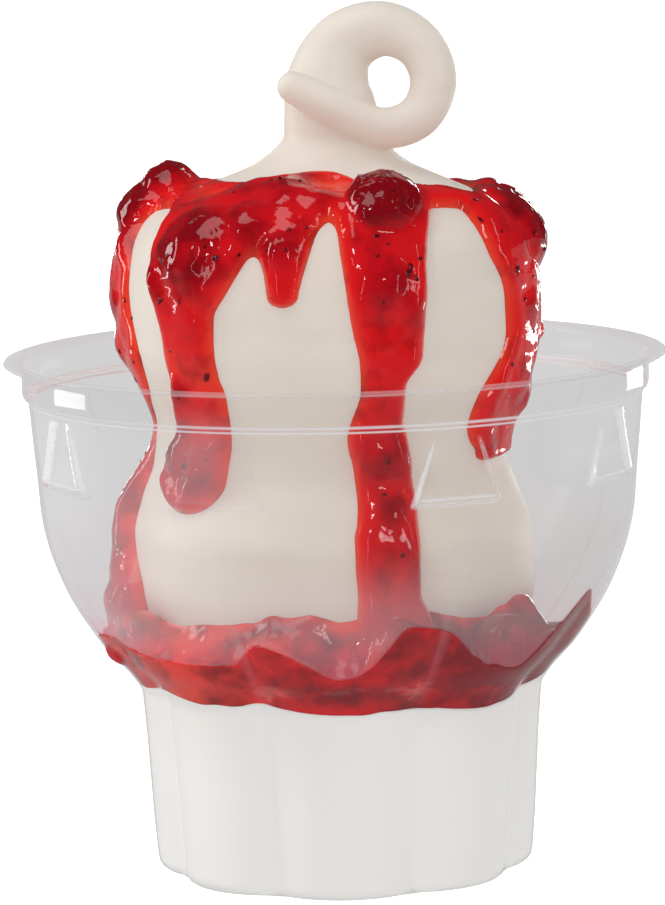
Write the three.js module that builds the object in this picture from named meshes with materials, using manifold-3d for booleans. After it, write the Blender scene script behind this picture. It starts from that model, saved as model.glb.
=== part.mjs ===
// A soft-serve ice cream sundae with strawberry sauce, in its clear thermoformed cup.
// Millimetres, +Z up. The cup stands on Z = 0 round the Z axis and the front faces -Y.
// An azimuth is in degrees, 0 at the front and growing towards +X.

import * as THREE from "three";
import { ParametricGeometry } from "three/addons/geometries/ParametricGeometry.js";
import { mergeVertices } from "three/addons/utils/BufferGeometryUtils.js";
import Module from "manifold-3d";

// Cup
const WALL = 0.8;
const RIM_RADIUS = 50;
const RIM_HEIGHT = 78.4;
const BAND_RADIUS = 47.3;
const LEDGE_HEIGHT = 72.8;
const FOOT_HEIGHT = 27.2;
const FOOT_RADIUS = 28.6;
const FOOT_TOP_RADIUS = 30.5;
const BASE_RECESS_RADIUS = 18;
const BASE_RECESS_DEPTH = 1.2;
const FLUTES = 8;
const FLUTE_DEPTH_AT_BASE = 2.6;
const FLUTE_DEPTH_AT_FOOT_TOP = 2.1;
const FLUTE_END_HEIGHT = 57;
const LUG_AZIMUTHS = [22, 62, 118, 158, -22, -62, -118, -158];
const LUG_TOP_WIDTH = 5.6;
const LUG_BOTTOM_WIDTH = 13.4;
const LUG_TOP_HEIGHT = 72.6;
const LUG_BOTTOM_HEIGHT = 61.5;
const LUG_FACE_RADIUS = 46.1;
const LUG_EDGE = 0.5;

// Space left between pieces that touch
const GAP = 0.3;

// Ice cream: the outline of its two tiers as [radius, height], and how far their centre leans
// sideways as [height, offset in X]
const FOOT_FILL_HEIGHT = 28.4;
const TIER_OUTLINE = [
  [26.2, 25],
  [27, 31],
  [28.8, 37.5],
  [30.2, 45],
  [30.2, 51.5],
  [28.6, 57.5],
  [26.9, 63],
  [27.4, 68],
  [29.2, 74.3],
  [30.6, 81.5],
  [30.6, 89],
  [29.3, 95],
  [27, 99],
  [23.4, 101.9],
  [19, 103.8],
  [15, 105.4],
  [11.5, 107],
  [9.2, 109],
  [7.6, 112],
];
const TIER_LEAN = [
  [25, -0.5],
  [60, -0.9],
  [83, -1.4],
  [99, -1.2],
  [106, 0],
  [112, 0.5],
];
const TIER_UNEVENNESS = 0.35;
// A hollow in the left of the waist: its middle, depth, and spread in degrees and in height
const WAIST_HOLLOW = { azimuth: -95, height: 70.5, depth: 1.7, spread: 28, tall: 6.5 };

// The curl on top: its centre line as [x, y, z, radius], from the neck round to the tip
const CURL_RING = [
  [0.6, 0, 106.7, 7.2],
  [0.2, 0, 113.4, 7.1],
  [-0.3, 0.5, 119.1, 6],
  [2.6, 1, 124.8, 4.8],
  [8.4, 0, 126.9, 4.1],
  [13.6, -1.5, 124.6, 3.6],
  [15.4, -3, 119.1, 3.4],
  [12.6, -4.5, 114.4, 3.15],
];
const CURL_TAIL = [
  [14.6, -3.8, 116.2, 3.2],
  [12.6, -4.5, 114.4, 3.15],
  [8, -5.5, 112.6, 3],
  [3.9, -6.3, 113.9, 3],
  [0.8, -6.7, 115.7, 2.9],
  [-2.3, -6.7, 117.4, 2.7],
  [-4.4, -6.5, 118.7, 2.5],
  [-5.7, -6.3, 119.4, 2.1],
];

// Sauce round the shoulder of the upper tier, as [azimuth, lower edge, upper edge]
const COLLAR = [
  [-180, 99.5, 103.4],
  [-150, 98.5, 103.4],
  [-125, 99.5, 103],
  [-97, 97.5, 104.2],
  [-75, 101.2, 104.9],
  [-42, 96.5, 105.4],
  [-20, 97, 106.2],
  [-4, 99.5, 106.9],
  [9, 100, 106.3],
  [25, 96.5, 104.7],
  [48, 101.8, 104.3],
  [72, 98, 104.4],
  [95, 97, 102.8],
  [120, 98.5, 102.4],
  [150, 98, 102.8],
  [180, 99.5, 103.4],
];
const COLLAR_THICKNESS = 2.2;
const SAUCE_ROOT = 1.2;

// Drips, each as stations of [azimuth, height, half width, thickness] from the collar down
const DRIPS = [
  [
    [-94, 100, 8, 2],
    [-90, 94, 10, 1.9],
    [-88, 88, 9.5, 2],
    [-84, 80, 8.5, 1.5],
    [-85, 74, 7.4, 1.3],
    [-90, 67, 6, 1.3],
    [-90, 58, 8.4, 2.8],
    [-89, 50, 9.5, 3.3],
    [-86, 44, 12, 5],
    [-86, 39, 13, 5.4],
  ],
  [
    [-42, 99, 11, 2.2],
    [-42, 94, 9.8, 2.4],
    [-42, 88, 6.4, 2],
    [-41, 81, 5.4, 1.8],
    [-39.5, 74, 5.2, 1.8],
    [-43, 68, 6.4, 2],
    [-48, 64.4, 7.8, 2.2],
    [-49, 61.6, 7, 2],
  ],
  [
    [-9.5, 100, 4.6, 1.8],
    [-10.5, 95, 3.3, 2],
    [-11.5, 90.8, 2.6, 2],
  ],
  [
    [18.5, 100, 6.8, 2],
    [18, 93, 6.2, 2],
    [18.2, 85, 5.5, 1.8],
    [18, 77, 3.8, 1.8],
    [15, 70.5, 4.3, 1.8],
    [15.7, 63, 4.5, 2],
    [15.3, 56, 4.6, 1.8],
    [14.6, 50, 4.9, 2],
    [16, 43, 6, 3],
    [17, 39, 6.5, 3.4],
  ],
  [
    [84, 100, 13, 2],
    [82, 93, 12, 2],
    [80, 86, 9.6, 1.9],
    [79, 80, 9.6, 1.9],
    [71, 73, 10.8, 1.9],
    [66, 68.5, 9.2, 1.7],
    [66, 65.8, 7.6, 1.6],
  ],
  [
    [124, 101, 7, 2],
    [122, 93, 5, 2],
    [121, 85, 4, 1.9],
    [122, 77, 4.4, 2.1],
  ],
  [
    [158, 101, 8, 2],
    [160, 92, 6.5, 2],
    [161, 82, 5, 1.9],
    [160, 73, 4.6, 1.8],
    [162, 64, 4.8, 2],
    [164, 55, 5, 2],
    [163, 46, 5.6, 2.8],
    [163, 39, 7, 4],
  ],
  [
    [-128, 101, 6.5, 2],
    [-130, 92, 5.4, 2],
    [-131, 83, 4.4, 1.9],
    [-130, 74, 4.4, 1.8],
    [-128, 66, 5.4, 2.2],
  ],
];

// Sauce pool in the bottom of the bowl, as [azimuth, height at the cup, height at the ice cream]
const POOL_BOTTOM = FOOT_FILL_HEIGHT + GAP;
const POOL_SAG = 1.4;
const POOL_TOP = [
  [-180, 38, 41],
  [-160, 36, 42],
  [-135, 37.5, 40.5],
  [-112, 35.8, 42],
  [-90, 37, 44.5],
  [-72, 37.7, 44.5],
  [-50, 36.4, 43],
  [-32, 36.6, 43.4],
  [-18, 39.6, 44],
  [-2, 35, 43.4],
  [14, 42, 43.4],
  [24, 41, 43],
  [38, 35.2, 42],
  [50, 34.2, 43.4],
  [65, 43.6, 44],
  [80, 38.8, 40.4],
  [97, 36.8, 39],
  [109, 34.6, 39],
  [120, 34.6, 39.4],
  [135, 37.4, 40.6],
  [158, 37, 42],
  [180, 38, 41],
];

// Fruit pieces on the shoulder, each lying on the ice cream:
// [azimuth, height, half width, half length, half depth, lift of the centre]
const TOP_FRUIT = [
  [-96, 101.8, 6, 5.2, 3.8, 1.5],
  [-40, 96.8, 6.2, 6, 3, 0.8],
  [20, 102, 5.8, 5.4, 4.2, 1.7],
  [84, 98.6, 6.4, 5.4, 3.4, 1.3],
  [125, 97.2, 5.6, 5, 3.4, 1.2],
  [158, 98.2, 6, 5.2, 3.4, 1.2],
  [-142, 97.8, 5.8, 5.2, 3.6, 1.2],
];

// Fruit pieces in the pool: [azimuth, radius, height, half width, half depth, half height]
const POOL_FRUIT = [
  [50, 33.6, 37.4, 5.6, 2.6, 4.8],
  [136, 34.2, 37.6, 5, 2.6, 4],
  [171, 34.2, 37.8, 5.2, 2.6, 4.2],
  [-143, 34.4, 37.6, 5.4, 2.6, 4],
  [-62, 34.4, 38, 5, 2.4, 4],
];
const FRUIT_LUMPS = 0.09;

// Fineness of the faceted forms
const CUP_SEGMENTS = 48;
const TIER_SEGMENTS = 36;
const CURL_SIDES = 10;
const CURL_STEP = 2.4;
const SECTION_SIDES = 8;
const FRUIT_FINENESS = 1;

const CLEAR_PLASTIC = { color: 0xdcdbdb, roughness: 0.08, metalness: 0, transparent: true, opacity: 0.35 };
const VANILLA = { color: 0xe9e2d4, roughness: 0.5, metalness: 0 };
const SAUCE = { color: 0xc8141c, roughness: 0.12, metalness: 0 };
const FRUIT = { color: 0x8e0f18, roughness: 0.18, metalness: 0 };

const wasm = await Module();
wasm.setup();

const { clamp, degToRad, lerp, radToDeg, smoothstep } = THREE.MathUtils;

// A closed geometry as a solid for joining and cutting. Faces that close up to a line at a pole
// are left out.
function solidOf(geometry) {
  geometry.deleteAttribute("normal");
  geometry.deleteAttribute("uv");
  const merged = mergeVertices(geometry, 1e-4);
  const kept = [];
  for (let i = 0; i < merged.index.count; i += 3) {
    const [a, b, c] = merged.index.array.slice(i, i + 3);
    if (a !== b && b !== c && c !== a) {
      kept.push(a, b, c);
    }
  }
  const mesh = new wasm.Mesh({
    numProp: 3,
    vertProperties: merged.attributes.position.array,
    triVerts: new Uint32Array(kept),
  });
  return new wasm.Manifold(mesh);
}

// The largest body of a solid: a cut can leave a loose scrap.
function largestOf(solid) {
  const bodies = solid.decompose();
  return bodies.reduce((best, body) => (body.volume() > best.volume() ? body : best));
}

// A named sub-part made from a solid.
function pieceOf(name, solid, material) {
  const { vertProperties, triVerts } = solid.getMesh();
  const geometry = new THREE.BufferGeometry();
  geometry.setAttribute("position", new THREE.BufferAttribute(vertProperties, 3));
  geometry.setIndex(new THREE.BufferAttribute(triVerts, 1));
  const piece = new THREE.Mesh(geometry, new THREE.MeshStandardMaterial(material));
  piece.name = name;
  return piece;
}

// A closed surface from a function of whole steps along its two directions. The first one runs
// round and meets itself.
function surfaceSolid(steps, rows, pointAt) {
  const place = (u, v, target) => {
    const step = Math.round(u * steps) % steps;
    const row = Math.round(v * rows);
    target.copy(pointAt(step, row));
  };
  return solidOf(new ParametricGeometry(place, steps, rows));
}

// A table: rows of [key, values...] give the values between the keys, on a smooth curve or on
// straight lines.
function tableOf(rows, Interpolant = THREE.CubicInterpolant) {
  const width = rows[0].length - 1;
  const keys = rows.map((row) => row[0]);
  const values = rows.flatMap((row) => row.slice(1));
  const curve = new Interpolant(keys, values, width, new Float64Array(width));
  return (key) => Array.from(curve.evaluate(key));
}

function around(azimuth, radius, height) {
  const angle = degToRad(azimuth);
  return new THREE.Vector3(radius * Math.sin(angle), -radius * Math.cos(angle), height);
}

const azimuthOf = (step, steps) => (step * 360) / steps - 180;

// ---- Cup ----

// How deep the flutes are at a height: full on the foot, fading out up the bowl.
function fluteDepth(height) {
  const onFoot = lerp(FLUTE_DEPTH_AT_BASE, FLUTE_DEPTH_AT_FOOT_TOP, height / FOOT_HEIGHT);
  const upBowl = 1 - smoothstep(height, FOOT_HEIGHT, FLUTE_END_HEIGHT);
  return height < FOOT_HEIGHT ? onFoot : FLUTE_DEPTH_AT_FOOT_TOP * upBowl;
}

// The radius of a fluted outline: round lobes of radius "crest" that meet in grooves.
function flutedRadius(azimuth, crest, height) {
  const lobe = 360 / FLUTES;
  const fromCrest = azimuth - lobe * Math.round(azimuth / lobe);
  const depth = fluteDepth(height) * Math.min(1, crest / FOOT_RADIUS) ** 2;
  const groove = crest - depth;
  const halfLobe = degToRad(lobe / 2);
  const centre = (crest ** 2 - groove ** 2) / (2 * (crest - groove * Math.cos(halfLobe)));
  const angle = degToRad(fromCrest);
  return centre * Math.cos(angle) + Math.sqrt((crest - centre) ** 2 - (centre * Math.sin(angle)) ** 2);
}

const FOOT_OUTLINE = [
  [0, BASE_RECESS_DEPTH],
  [BASE_RECESS_RADIUS, BASE_RECESS_DEPTH],
  [BASE_RECESS_RADIUS + BASE_RECESS_DEPTH, 0],
  [FOOT_RADIUS - 1.6, 0],
  [FOOT_RADIUS - 0.5, 0.45],
  [FOOT_RADIUS, 1.6],
  [FOOT_TOP_RADIUS, FOOT_HEIGHT],
];
const BOWL_OUTLINE = [
  [30.9, 28.8],
  [33.7, 32.2],
  [37.5, 36.8],
  [40.9, 42.4],
  [43.6, 49.2],
  [45.2, 58],
  [46.3, LEDGE_HEIGHT],
];
const BAND_OUTLINE = [
  [BAND_RADIUS - 0.3, LEDGE_HEIGHT + 0.2],
  [BAND_RADIUS, LEDGE_HEIGHT + 0.9],
  [BAND_RADIUS, RIM_HEIGHT - WALL],
];
const FLANGE_OUTLINE = [
  [RIM_RADIUS - 0.3, RIM_HEIGHT - WALL],
  [RIM_RADIUS, RIM_HEIGHT - WALL / 2],
  [RIM_RADIUS - 0.3, RIM_HEIGHT],
  [0, RIM_HEIGHT],
];
const CUP_OUTLINE = [...FOOT_OUTLINE, ...BOWL_OUTLINE, ...BAND_OUTLINE];

// An outline moved inwards, along the mitre of the edges that meet at each point.
function insetOutline(outline, distance) {
  return outline.map((point, i) => {
    const here = new THREE.Vector2(...point);
    const before = new THREE.Vector2(...(outline[i - 1] ?? point));
    const after = new THREE.Vector2(...(outline[i + 1] ?? point));
    const edges = [here.clone().sub(before), after.clone().sub(here)];
    const normals = edges.filter((e) => e.length() > 0).map((e) => new THREE.Vector2(-e.y, e.x).normalize());
    const mitre = normals.reduce((sum, n) => sum.add(n), new THREE.Vector2()).normalize();
    const moved = here.addScaledVector(mitre, distance / mitre.dot(normals[0]));
    return [point[0] === 0 ? 0 : moved.x, moved.y];
  });
}

function flutedSolid(outline) {
  return surfaceSolid(CUP_SEGMENTS, outline.length - 1, (step, row) => {
    const azimuth = azimuthOf(step, CUP_SEGMENTS);
    const [crest, height] = outline[row];
    return around(azimuth, crest > 0 ? flutedRadius(azimuth, crest, height) : 0, height);
  });
}

// What the cup holds, as a solid this far inside its outer face.
function insideOfCup(distance) {
  const top = RIM_HEIGHT + 2;
  const wall = insetOutline(CUP_OUTLINE, distance);
  return flutedSolid([...wall, [BAND_RADIUS - distance, top], [0, top]]);
}

// A stacking lug: a trapezium pushed out of the bowl's wall, flush with it at its top.
function lugSolid(azimuth) {
  const outline = new THREE.Shape([
    new THREE.Vector2(-LUG_BOTTOM_WIDTH / 2 + LUG_EDGE, LUG_BOTTOM_HEIGHT + LUG_EDGE),
    new THREE.Vector2(LUG_BOTTOM_WIDTH / 2 - LUG_EDGE, LUG_BOTTOM_HEIGHT + LUG_EDGE),
    new THREE.Vector2(LUG_TOP_WIDTH / 2 - LUG_EDGE, LUG_TOP_HEIGHT - LUG_EDGE),
    new THREE.Vector2(-LUG_TOP_WIDTH / 2 + LUG_EDGE, LUG_TOP_HEIGHT - LUG_EDGE),
  ]);
  const depth = 3;
  const geometry = new THREE.ExtrudeGeometry(outline, {
    depth,
    bevelEnabled: true,
    bevelThickness: LUG_EDGE,
    bevelSize: LUG_EDGE,
    bevelSegments: 1,
  });
  geometry.translate(0, 0, LUG_FACE_RADIUS - depth - LUG_EDGE);
  geometry.rotateX(Math.PI / 2);
  geometry.rotateZ(degToRad(azimuth));
  return solidOf(geometry);
}

function cupSolid() {
  let outside = flutedSolid([...CUP_OUTLINE, ...FLANGE_OUTLINE]);
  for (const azimuth of LUG_AZIMUTHS) {
    outside = outside.add(lugSolid(azimuth));
  }
  return largestOf(outside.subtract(insideOfCup(WALL)));
}

// ---- Ice cream ----

const tierRadius = tableOf(TIER_OUTLINE.map(([radius, height]) => [height, radius]));
const tierLean = tableOf(TIER_LEAN);

// How deep the hollow in the waist is: a bell in both directions.
function waistHollow(azimuth, height) {
  const aside = (azimuth - WAIST_HOLLOW.azimuth) / WAIST_HOLLOW.spread;
  const above = (height - WAIST_HOLLOW.height) / WAIST_HOLLOW.tall;
  return WAIST_HOLLOW.depth * Math.exp(-(aside ** 2) - above ** 2);
}

// A point this far outside the tiers' surface, at an azimuth and a height on their outline.
function onTiers(azimuth, height, outwards) {
  const step = 0.2;
  const [radius] = tierRadius(height);
  const slope = (tierRadius(height + step)[0] - tierRadius(height - step)[0]) / (2 * step);
  const normal = new THREE.Vector2(1, -slope).normalize();
  const angle = degToRad(azimuth);
  const waves = Math.sin(3 * angle + height / 9) + 0.6 * Math.sin(5 * angle - height / 7);
  const fade = smoothstep(radius, 10, 24);
  const uneven = TIER_UNEVENNESS * fade * waves - waistHollow(azimuth, height);
  const reach = radius + uneven + outwards * normal.x;
  const point = around(azimuth, reach, height + outwards * normal.y);
  point.x += tierLean(height)[0];
  return point;
}

function tiersSolid(grow) {
  const last = TIER_OUTLINE.length - 1;
  return surfaceSolid(TIER_SEGMENTS, last + 2, (step, row) => {
    const height = TIER_OUTLINE[clamp(row - 1, 0, last)][1];
    if (row === 0 || row === last + 2) {
      return new THREE.Vector3(0, 0, height);
    }
    return onTiers(azimuthOf(step, TIER_SEGMENTS), height, grow);
  });
}

// A round rope along stations of [x, y, z, radius], closed by a rounded cap at each end.
function ropeSolid(stations, grow) {
  const path = new THREE.CatmullRomCurve3(stations.map(([x, y, z]) => new THREE.Vector3(x, y, z)));
  const radii = tableOf(stations.map((station, i) => [i / (stations.length - 1), station[3]]));
  const rows = Math.ceil(path.getLength() / CURL_STEP);
  const frames = path.computeFrenetFrames(rows, false);
  const capShares = [0, 0.7];
  const rings = [];
  for (let i = 0; i <= rows; i++) {
    rings.push({ row: i, share: 1, along: 0 });
  }
  for (const share of capShares) {
    const along = Math.sqrt(1 - share ** 2);
    rings.unshift({ row: 0, share, along: -along });
    rings.push({ row: rows, share, along });
  }
  rings.sort((a, b) => a.row - b.row || a.along - b.along);
  return surfaceSolid(CURL_SIDES, rings.length - 1, (side, index) => {
    const { row, share, along } = rings[index];
    const t = path.getUtoTmapping(row / rows);
    const radius = radii(t)[0] + grow;
    const angle = (2 * Math.PI * side) / CURL_SIDES;
    return path
      .getPoint(t)
      .addScaledVector(frames.tangents[row], along * radius)
      .addScaledVector(frames.normals[row], share * radius * Math.cos(angle))
      .addScaledVector(frames.binormals[row], share * radius * Math.sin(angle));
  });
}

function footFillSolid() {
  const fill = insetOutline(CUP_OUTLINE, WALL + GAP).filter(([, height]) => height < FOOT_FILL_HEIGHT - 1);
  const edge = FOOT_TOP_RADIUS - WALL - GAP;
  return flutedSolid([...fill, [edge, FOOT_FILL_HEIGHT], [0, FOOT_FILL_HEIGHT]]);
}

function iceCreamSolid() {
  const curl = ropeSolid(CURL_RING, 0).add(ropeSolid(CURL_TAIL, 0));
  return largestOf(tiersSolid(0).add(footFillSolid()).add(curl));
}

// ---- Sauce ----

// A point round a flat rounded section that lies on the tiers: "side" runs once round it.
function sectionOf(side, sides, thickness) {
  const angle = (2 * Math.PI * side) / sides;
  const rise = Math.sin(angle);
  return { across: Math.cos(angle), outwards: rise > 0 ? GAP + thickness * rise : SAUCE_ROOT * rise };
}

function collarSolid() {
  const edges = tableOf(COLLAR);
  return surfaceSolid(TIER_SEGMENTS, SECTION_SIDES, (step, side) => {
    const azimuth = azimuthOf(step, TIER_SEGMENTS);
    const [low, high] = edges(azimuth);
    const { across, outwards } = sectionOf(side % SECTION_SIDES, SECTION_SIDES, COLLAR_THICKNESS);
    return onTiers(azimuth, lerp(high, low, (1 + across) / 2), outwards);
  });
}

// A drip along its stations, with a row at each height of the tiers' outline and a round end.
function dripSolid(stations) {
  const drip = tableOf(stations.map(([azimuth, height, ...size]) => [height, azimuth, ...size]).reverse());
  const top = stations[0][1];
  const bottom = stations[stations.length - 1][1];
  const tierRows = TIER_OUTLINE.map((point) => point[1]);
  const between = tierRows.filter((height) => height > bottom + 1 && height < top - 1);
  const rings = [bottom, ...between, top].reverse().map((height) => ({ height, share: 1, down: 0 }));
  rings.unshift({ height: top, share: 0, down: 0 });
  rings.push({ height: bottom, share: 0.75, down: 0.5 }, { height: bottom, share: 0, down: 0.85 });
  return surfaceSolid(SECTION_SIDES, rings.length - 1, (side, index) => {
    const { height, share, down } = rings[index];
    const [azimuth, halfWidth, thickness] = drip(height);
    const { across, outwards } = sectionOf(side, SECTION_SIDES, thickness);
    const spread = radToDeg((across * halfWidth) / tierRadius(height)[0]);
    return onTiers(azimuth + spread * share, height - down * halfWidth, outwards * share);
  });
}

function poolSolid(grow) {
  const heights = tableOf(POOL_TOP);
  const wall = insetOutline(CUP_OUTLINE, WALL + GAP).slice(FOOT_OUTLINE.length - 1);
  const crest = tableOf(wall.map(([radius, height]) => [height, radius]), THREE.LinearInterpolant);
  const wallRows = 2;
  const topRows = 3;
  const innerRadius = 24;
  return surfaceSolid(CUP_SEGMENTS, wallRows + topRows + 2, (step, row) => {
    const azimuth = azimuthOf(step, CUP_SEGMENTS);
    const [atCup, atIce] = heights(azimuth);
    const wallRadius = (height) => flutedRadius(azimuth, crest(height)[0], height);
    if (row === 0 || row > wallRows + topRows + 1) {
      return around(azimuth, innerRadius, POOL_BOTTOM);
    }
    if (row <= wallRows + 1) {
      const height = lerp(POOL_BOTTOM, atCup, (row - 1) / wallRows) + grow;
      return around(azimuth, wallRadius(height), height);
    }
    const share = (row - wallRows - 1) / topRows;
    const sag = POOL_SAG * Math.sin(Math.PI * Math.min(1, share * 1.3));
    const height = lerp(atCup, atIce, share ** 1.5) - sag + grow;
    return around(azimuth, lerp(wallRadius(atCup), innerRadius, share), height);
  });
}

// ---- Fruit ----

// An uneven lump with half sizes along three directions round a centre.
function lumpSolid(centre, directions, halves, seed) {
  const geometry = new THREE.IcosahedronGeometry(1, FRUIT_FINENESS);
  const position = geometry.attributes.position;
  const point = new THREE.Vector3();
  for (let i = 0; i < position.count; i++) {
    point.fromBufferAttribute(position, i);
    const waves = Math.sin(4 * point.x + seed) + Math.sin(5 * point.y + 2 * seed);
    const scale = 1 + FRUIT_LUMPS * (waves + Math.sin(4 * point.z + 3 * seed));
    const [a, b, c] = [point.x, point.y, point.z].map((value, axis) => value * scale * halves[axis]);
    point.copy(centre);
    point.addScaledVector(directions[0], a);
    point.addScaledVector(directions[1], b);
    point.addScaledVector(directions[2], c);
    position.setXYZ(i, point.x, point.y, point.z);
  }
  return solidOf(geometry);
}

function topFruitSolid([azimuth, height, halfWidth, halfLength, halfDepth, lift], seed, grow) {
  const out = onTiers(azimuth, height, 1).sub(onTiers(azimuth, height, 0)).normalize();
  const side = around(azimuth + 90, 1, 0);
  const up = new THREE.Vector3().crossVectors(out, side);
  const halves = [halfWidth + grow, halfLength + grow, halfDepth + grow];
  return lumpSolid(onTiers(azimuth, height, lift), [side, up, out], halves, seed);
}

function poolFruitSolid([azimuth, radius, height, halfWidth, halfDepth, halfHeight], seed, grow) {
  const side = around(azimuth + 90, 1, 0);
  const out = around(azimuth, 1, 0);
  const up = new THREE.Vector3().crossVectors(out, side);
  const halves = [halfWidth + grow, halfHeight + grow, halfDepth + grow];
  return lumpSolid(around(azimuth, radius, height), [side, up, out], halves, seed);
}

// ---- Assembly ----

const grownIce = tiersSolid(GAP).add(ropeSolid(CURL_RING, GAP));
const cupInside = insideOfCup(WALL + GAP);

const sundae = new THREE.Group();
sundae.add(pieceOf("cup", cupSolid(), CLEAR_PLASTIC));
sundae.add(pieceOf("ice_cream", iceCreamSolid(), VANILLA));

let topping = collarSolid();
for (const stations of DRIPS) {
  topping = topping.add(dripSolid(stations));
}
topping = topping.subtract(grownIce).subtract(poolSolid(GAP));
let pool = poolSolid(0).subtract(grownIce);

TOP_FRUIT.forEach((place, i) => {
  const fruit = largestOf(topFruitSolid(place, i, 0).subtract(grownIce));
  topping = topping.subtract(topFruitSolid(place, i, GAP));
  sundae.add(pieceOf(`fruit_top_${i + 1}`, fruit, FRUIT));
});
POOL_FRUIT.forEach((place, i) => {
  const seed = i + TOP_FRUIT.length;
  const fruit = largestOf(poolFruitSolid(place, seed, 0).intersect(cupInside).subtract(grownIce));
  pool = pool.subtract(poolFruitSolid(place, seed, GAP));
  topping = topping.subtract(poolFruitSolid(place, seed, GAP));
  sundae.add(pieceOf(`fruit_pool_${i + 1}`, fruit, FRUIT));
});

sundae.add(pieceOf("sauce_topping", largestOf(topping), SAUCE));
sundae.add(pieceOf("sauce_pool", largestOf(pool), SAUCE));

export default sundae;
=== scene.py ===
# A soft-serve ice cream sundae with strawberry sauce, in its clear thermoformed cup.
# Metres, +Z up, the front faces -Y. Sizes in the sections are millimetres, and an azimuth is in
# degrees, 0 at the front and growing towards +X.
import itertools
import math

import bpy
import numpy as np
from mathutils import Matrix


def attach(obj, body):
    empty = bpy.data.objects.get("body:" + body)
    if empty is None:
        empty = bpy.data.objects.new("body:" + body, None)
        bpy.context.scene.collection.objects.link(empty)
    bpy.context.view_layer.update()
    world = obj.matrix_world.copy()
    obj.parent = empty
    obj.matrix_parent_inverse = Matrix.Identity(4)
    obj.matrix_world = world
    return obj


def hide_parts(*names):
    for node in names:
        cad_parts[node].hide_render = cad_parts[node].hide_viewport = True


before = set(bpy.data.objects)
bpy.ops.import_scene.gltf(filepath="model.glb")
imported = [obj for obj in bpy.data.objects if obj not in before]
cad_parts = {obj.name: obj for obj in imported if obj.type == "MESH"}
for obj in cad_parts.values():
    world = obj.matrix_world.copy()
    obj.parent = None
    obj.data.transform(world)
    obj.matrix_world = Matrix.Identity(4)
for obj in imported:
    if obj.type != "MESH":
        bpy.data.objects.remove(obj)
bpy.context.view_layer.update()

# ---- Clear cup ----
# A cup thermoformed from one sheet of clear PET, half a millimetre thick. It has a flat flange,
# an upright band, a bowl whose scallops fade upwards, eight flutes on the foot, and eight
# stacking lugs pressed out under the band.

MM = 0.001
SHEET = 0.5
CUP_COLUMNS = 470
FLUTES = 8

# The sheet's middle line from the centre of the base to the edge of the flange, [radius, height].
# "rows" is how finely each stretch to the next point is divided.
CUP_PATH = [
    # radius, height, rows
    (0.4, 1.45, 2),
    (17.8, 1.45, 1),
    (18.7, 1.1, 1),
    (19.4, 0.35, 1),
    (20.2, 0.25, 2),
    (26.4, 0.25, 1),
    (27.6, 0.45, 2),
    (28.2, 1.1, 1),
    (28.38, 2.0, 4),
    (30.1, 26.9, 1),
    (30.25, 27.7, 2),
    (30.85, 28.8, 2),
    (32.5, 31.0, 2),
    (35.3, 34.0, 3),
    (38.1, 38.0, 3),
    (40.5, 42.0, 3),
    (42.27, 46.0, 3),
    (43.63, 50.0, 4),
    (44.65, 55.0, 4),
    (45.04, 60.0, 14),
    (45.57, 66.0, 13),
    (46.1, 72.0, 2),
    (46.25, 72.6, 2),
    (46.55, 72.95, 2),
    (46.85, 73.2, 2),
    (47.02, 73.8, 4),
    (47.05, 77.0, 2),
    (47.2, 77.65, 2),
    (47.6, 78.05, 2),
    (48.1, 78.15, 2),
    (49.5, 78.15, 1),
    (49.75, 78.05, 0),
]
# Each stacking lug's azimuth, and how bright the painted highlight lines along its edges are
LUGS = {22: 0.75, 62: 1.0, 118: 0.15, 158: 0.15, -22: 0.12, -62: 1.0, -118: 0.15, -158: 0.15}
LUG_FACE = 46.0  # distance of the flat face from the axis
LUG_TOP, LUG_BOTTOM = 72.3, 61.2
LUG_HALF_TOP, LUG_HALF_BOTTOM = 2.9, 6.7
BRIGHT_LUGS = (-62, 62)
# The grooves between the flutes: their depth at the base, what they lose up the foot, where the
# foot ends, where they have faded out on the bowl, and the radius within which they get shallower
GROOVE_DEPTH, GROOVE_LOSS = 2.6, 0.5
FOOT_TOP, GROOVES_END = 27.2, 58
FOOT_CREST = 28.6


def eased(keys, values, at):
    """A smooth curve through the points (key, value): a cubic between each two, whose slope at a
    point is the harmonic mean of the slopes on either side, or flat at a peak."""
    keys, values = np.asarray(keys, float), np.asarray(values, float)
    step = np.diff(keys)
    slope = np.diff(values) / step
    same = slope[:-1] * slope[1:] > 0
    mean = np.where(same, 2 * slope[:-1] * slope[1:] / np.where(same, slope[:-1] + slope[1:], 1), 0)
    ends = np.concatenate([slope[:1], mean, slope[-1:]])
    at = np.clip(at, keys[0], keys[-1])
    i = np.clip(np.searchsorted(keys, at, side="right") - 1, 0, len(step) - 1)
    t = (at - keys[i]) / step[i]
    return (
        values[i] * (1 + 2 * t) * (1 - t) ** 2
        + values[i + 1] * t * t * (3 - 2 * t)
        + step[i] * t * (1 - t) * (ends[i] * (1 - t) - ends[i + 1] * t)
    )


def around(azimuth, radius, height):
    """Points at a radius and height, turned from the front by an azimuth in degrees."""
    angle = np.radians(azimuth)
    x, y, z = np.broadcast_arrays(radius * np.sin(angle), -radius * np.cos(angle), height)
    return np.stack([x, y, z], axis=-1)


def turn_from(middle, azimuth):
    """How far an azimuth lies past a middle one, from -180 to 180 degrees."""
    return (azimuth - middle + 180) % 360 - 180


def ramp(value, low, high):
    """0 below low, 1 above high, and eased between them."""
    t = np.clip((value - low) / (high - low), 0, 1)
    return t * t * (3 - 2 * t)


def band(value, start, full, fading, end):
    """1 from full to fading, 0 below start and above end, and eased between them."""
    return ramp(value, start, full) * (1 - ramp(value, fading, end))


def flute_depth(height):
    """How far the grooves lie inside the lobes: full on the foot, fading out up the bowl."""
    on_foot = GROOVE_DEPTH - GROOVE_LOSS * np.clip(height, 0, FOOT_TOP) / FOOT_TOP
    return on_foot * (1 - ramp(height, FOOT_TOP, GROOVES_END))


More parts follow.
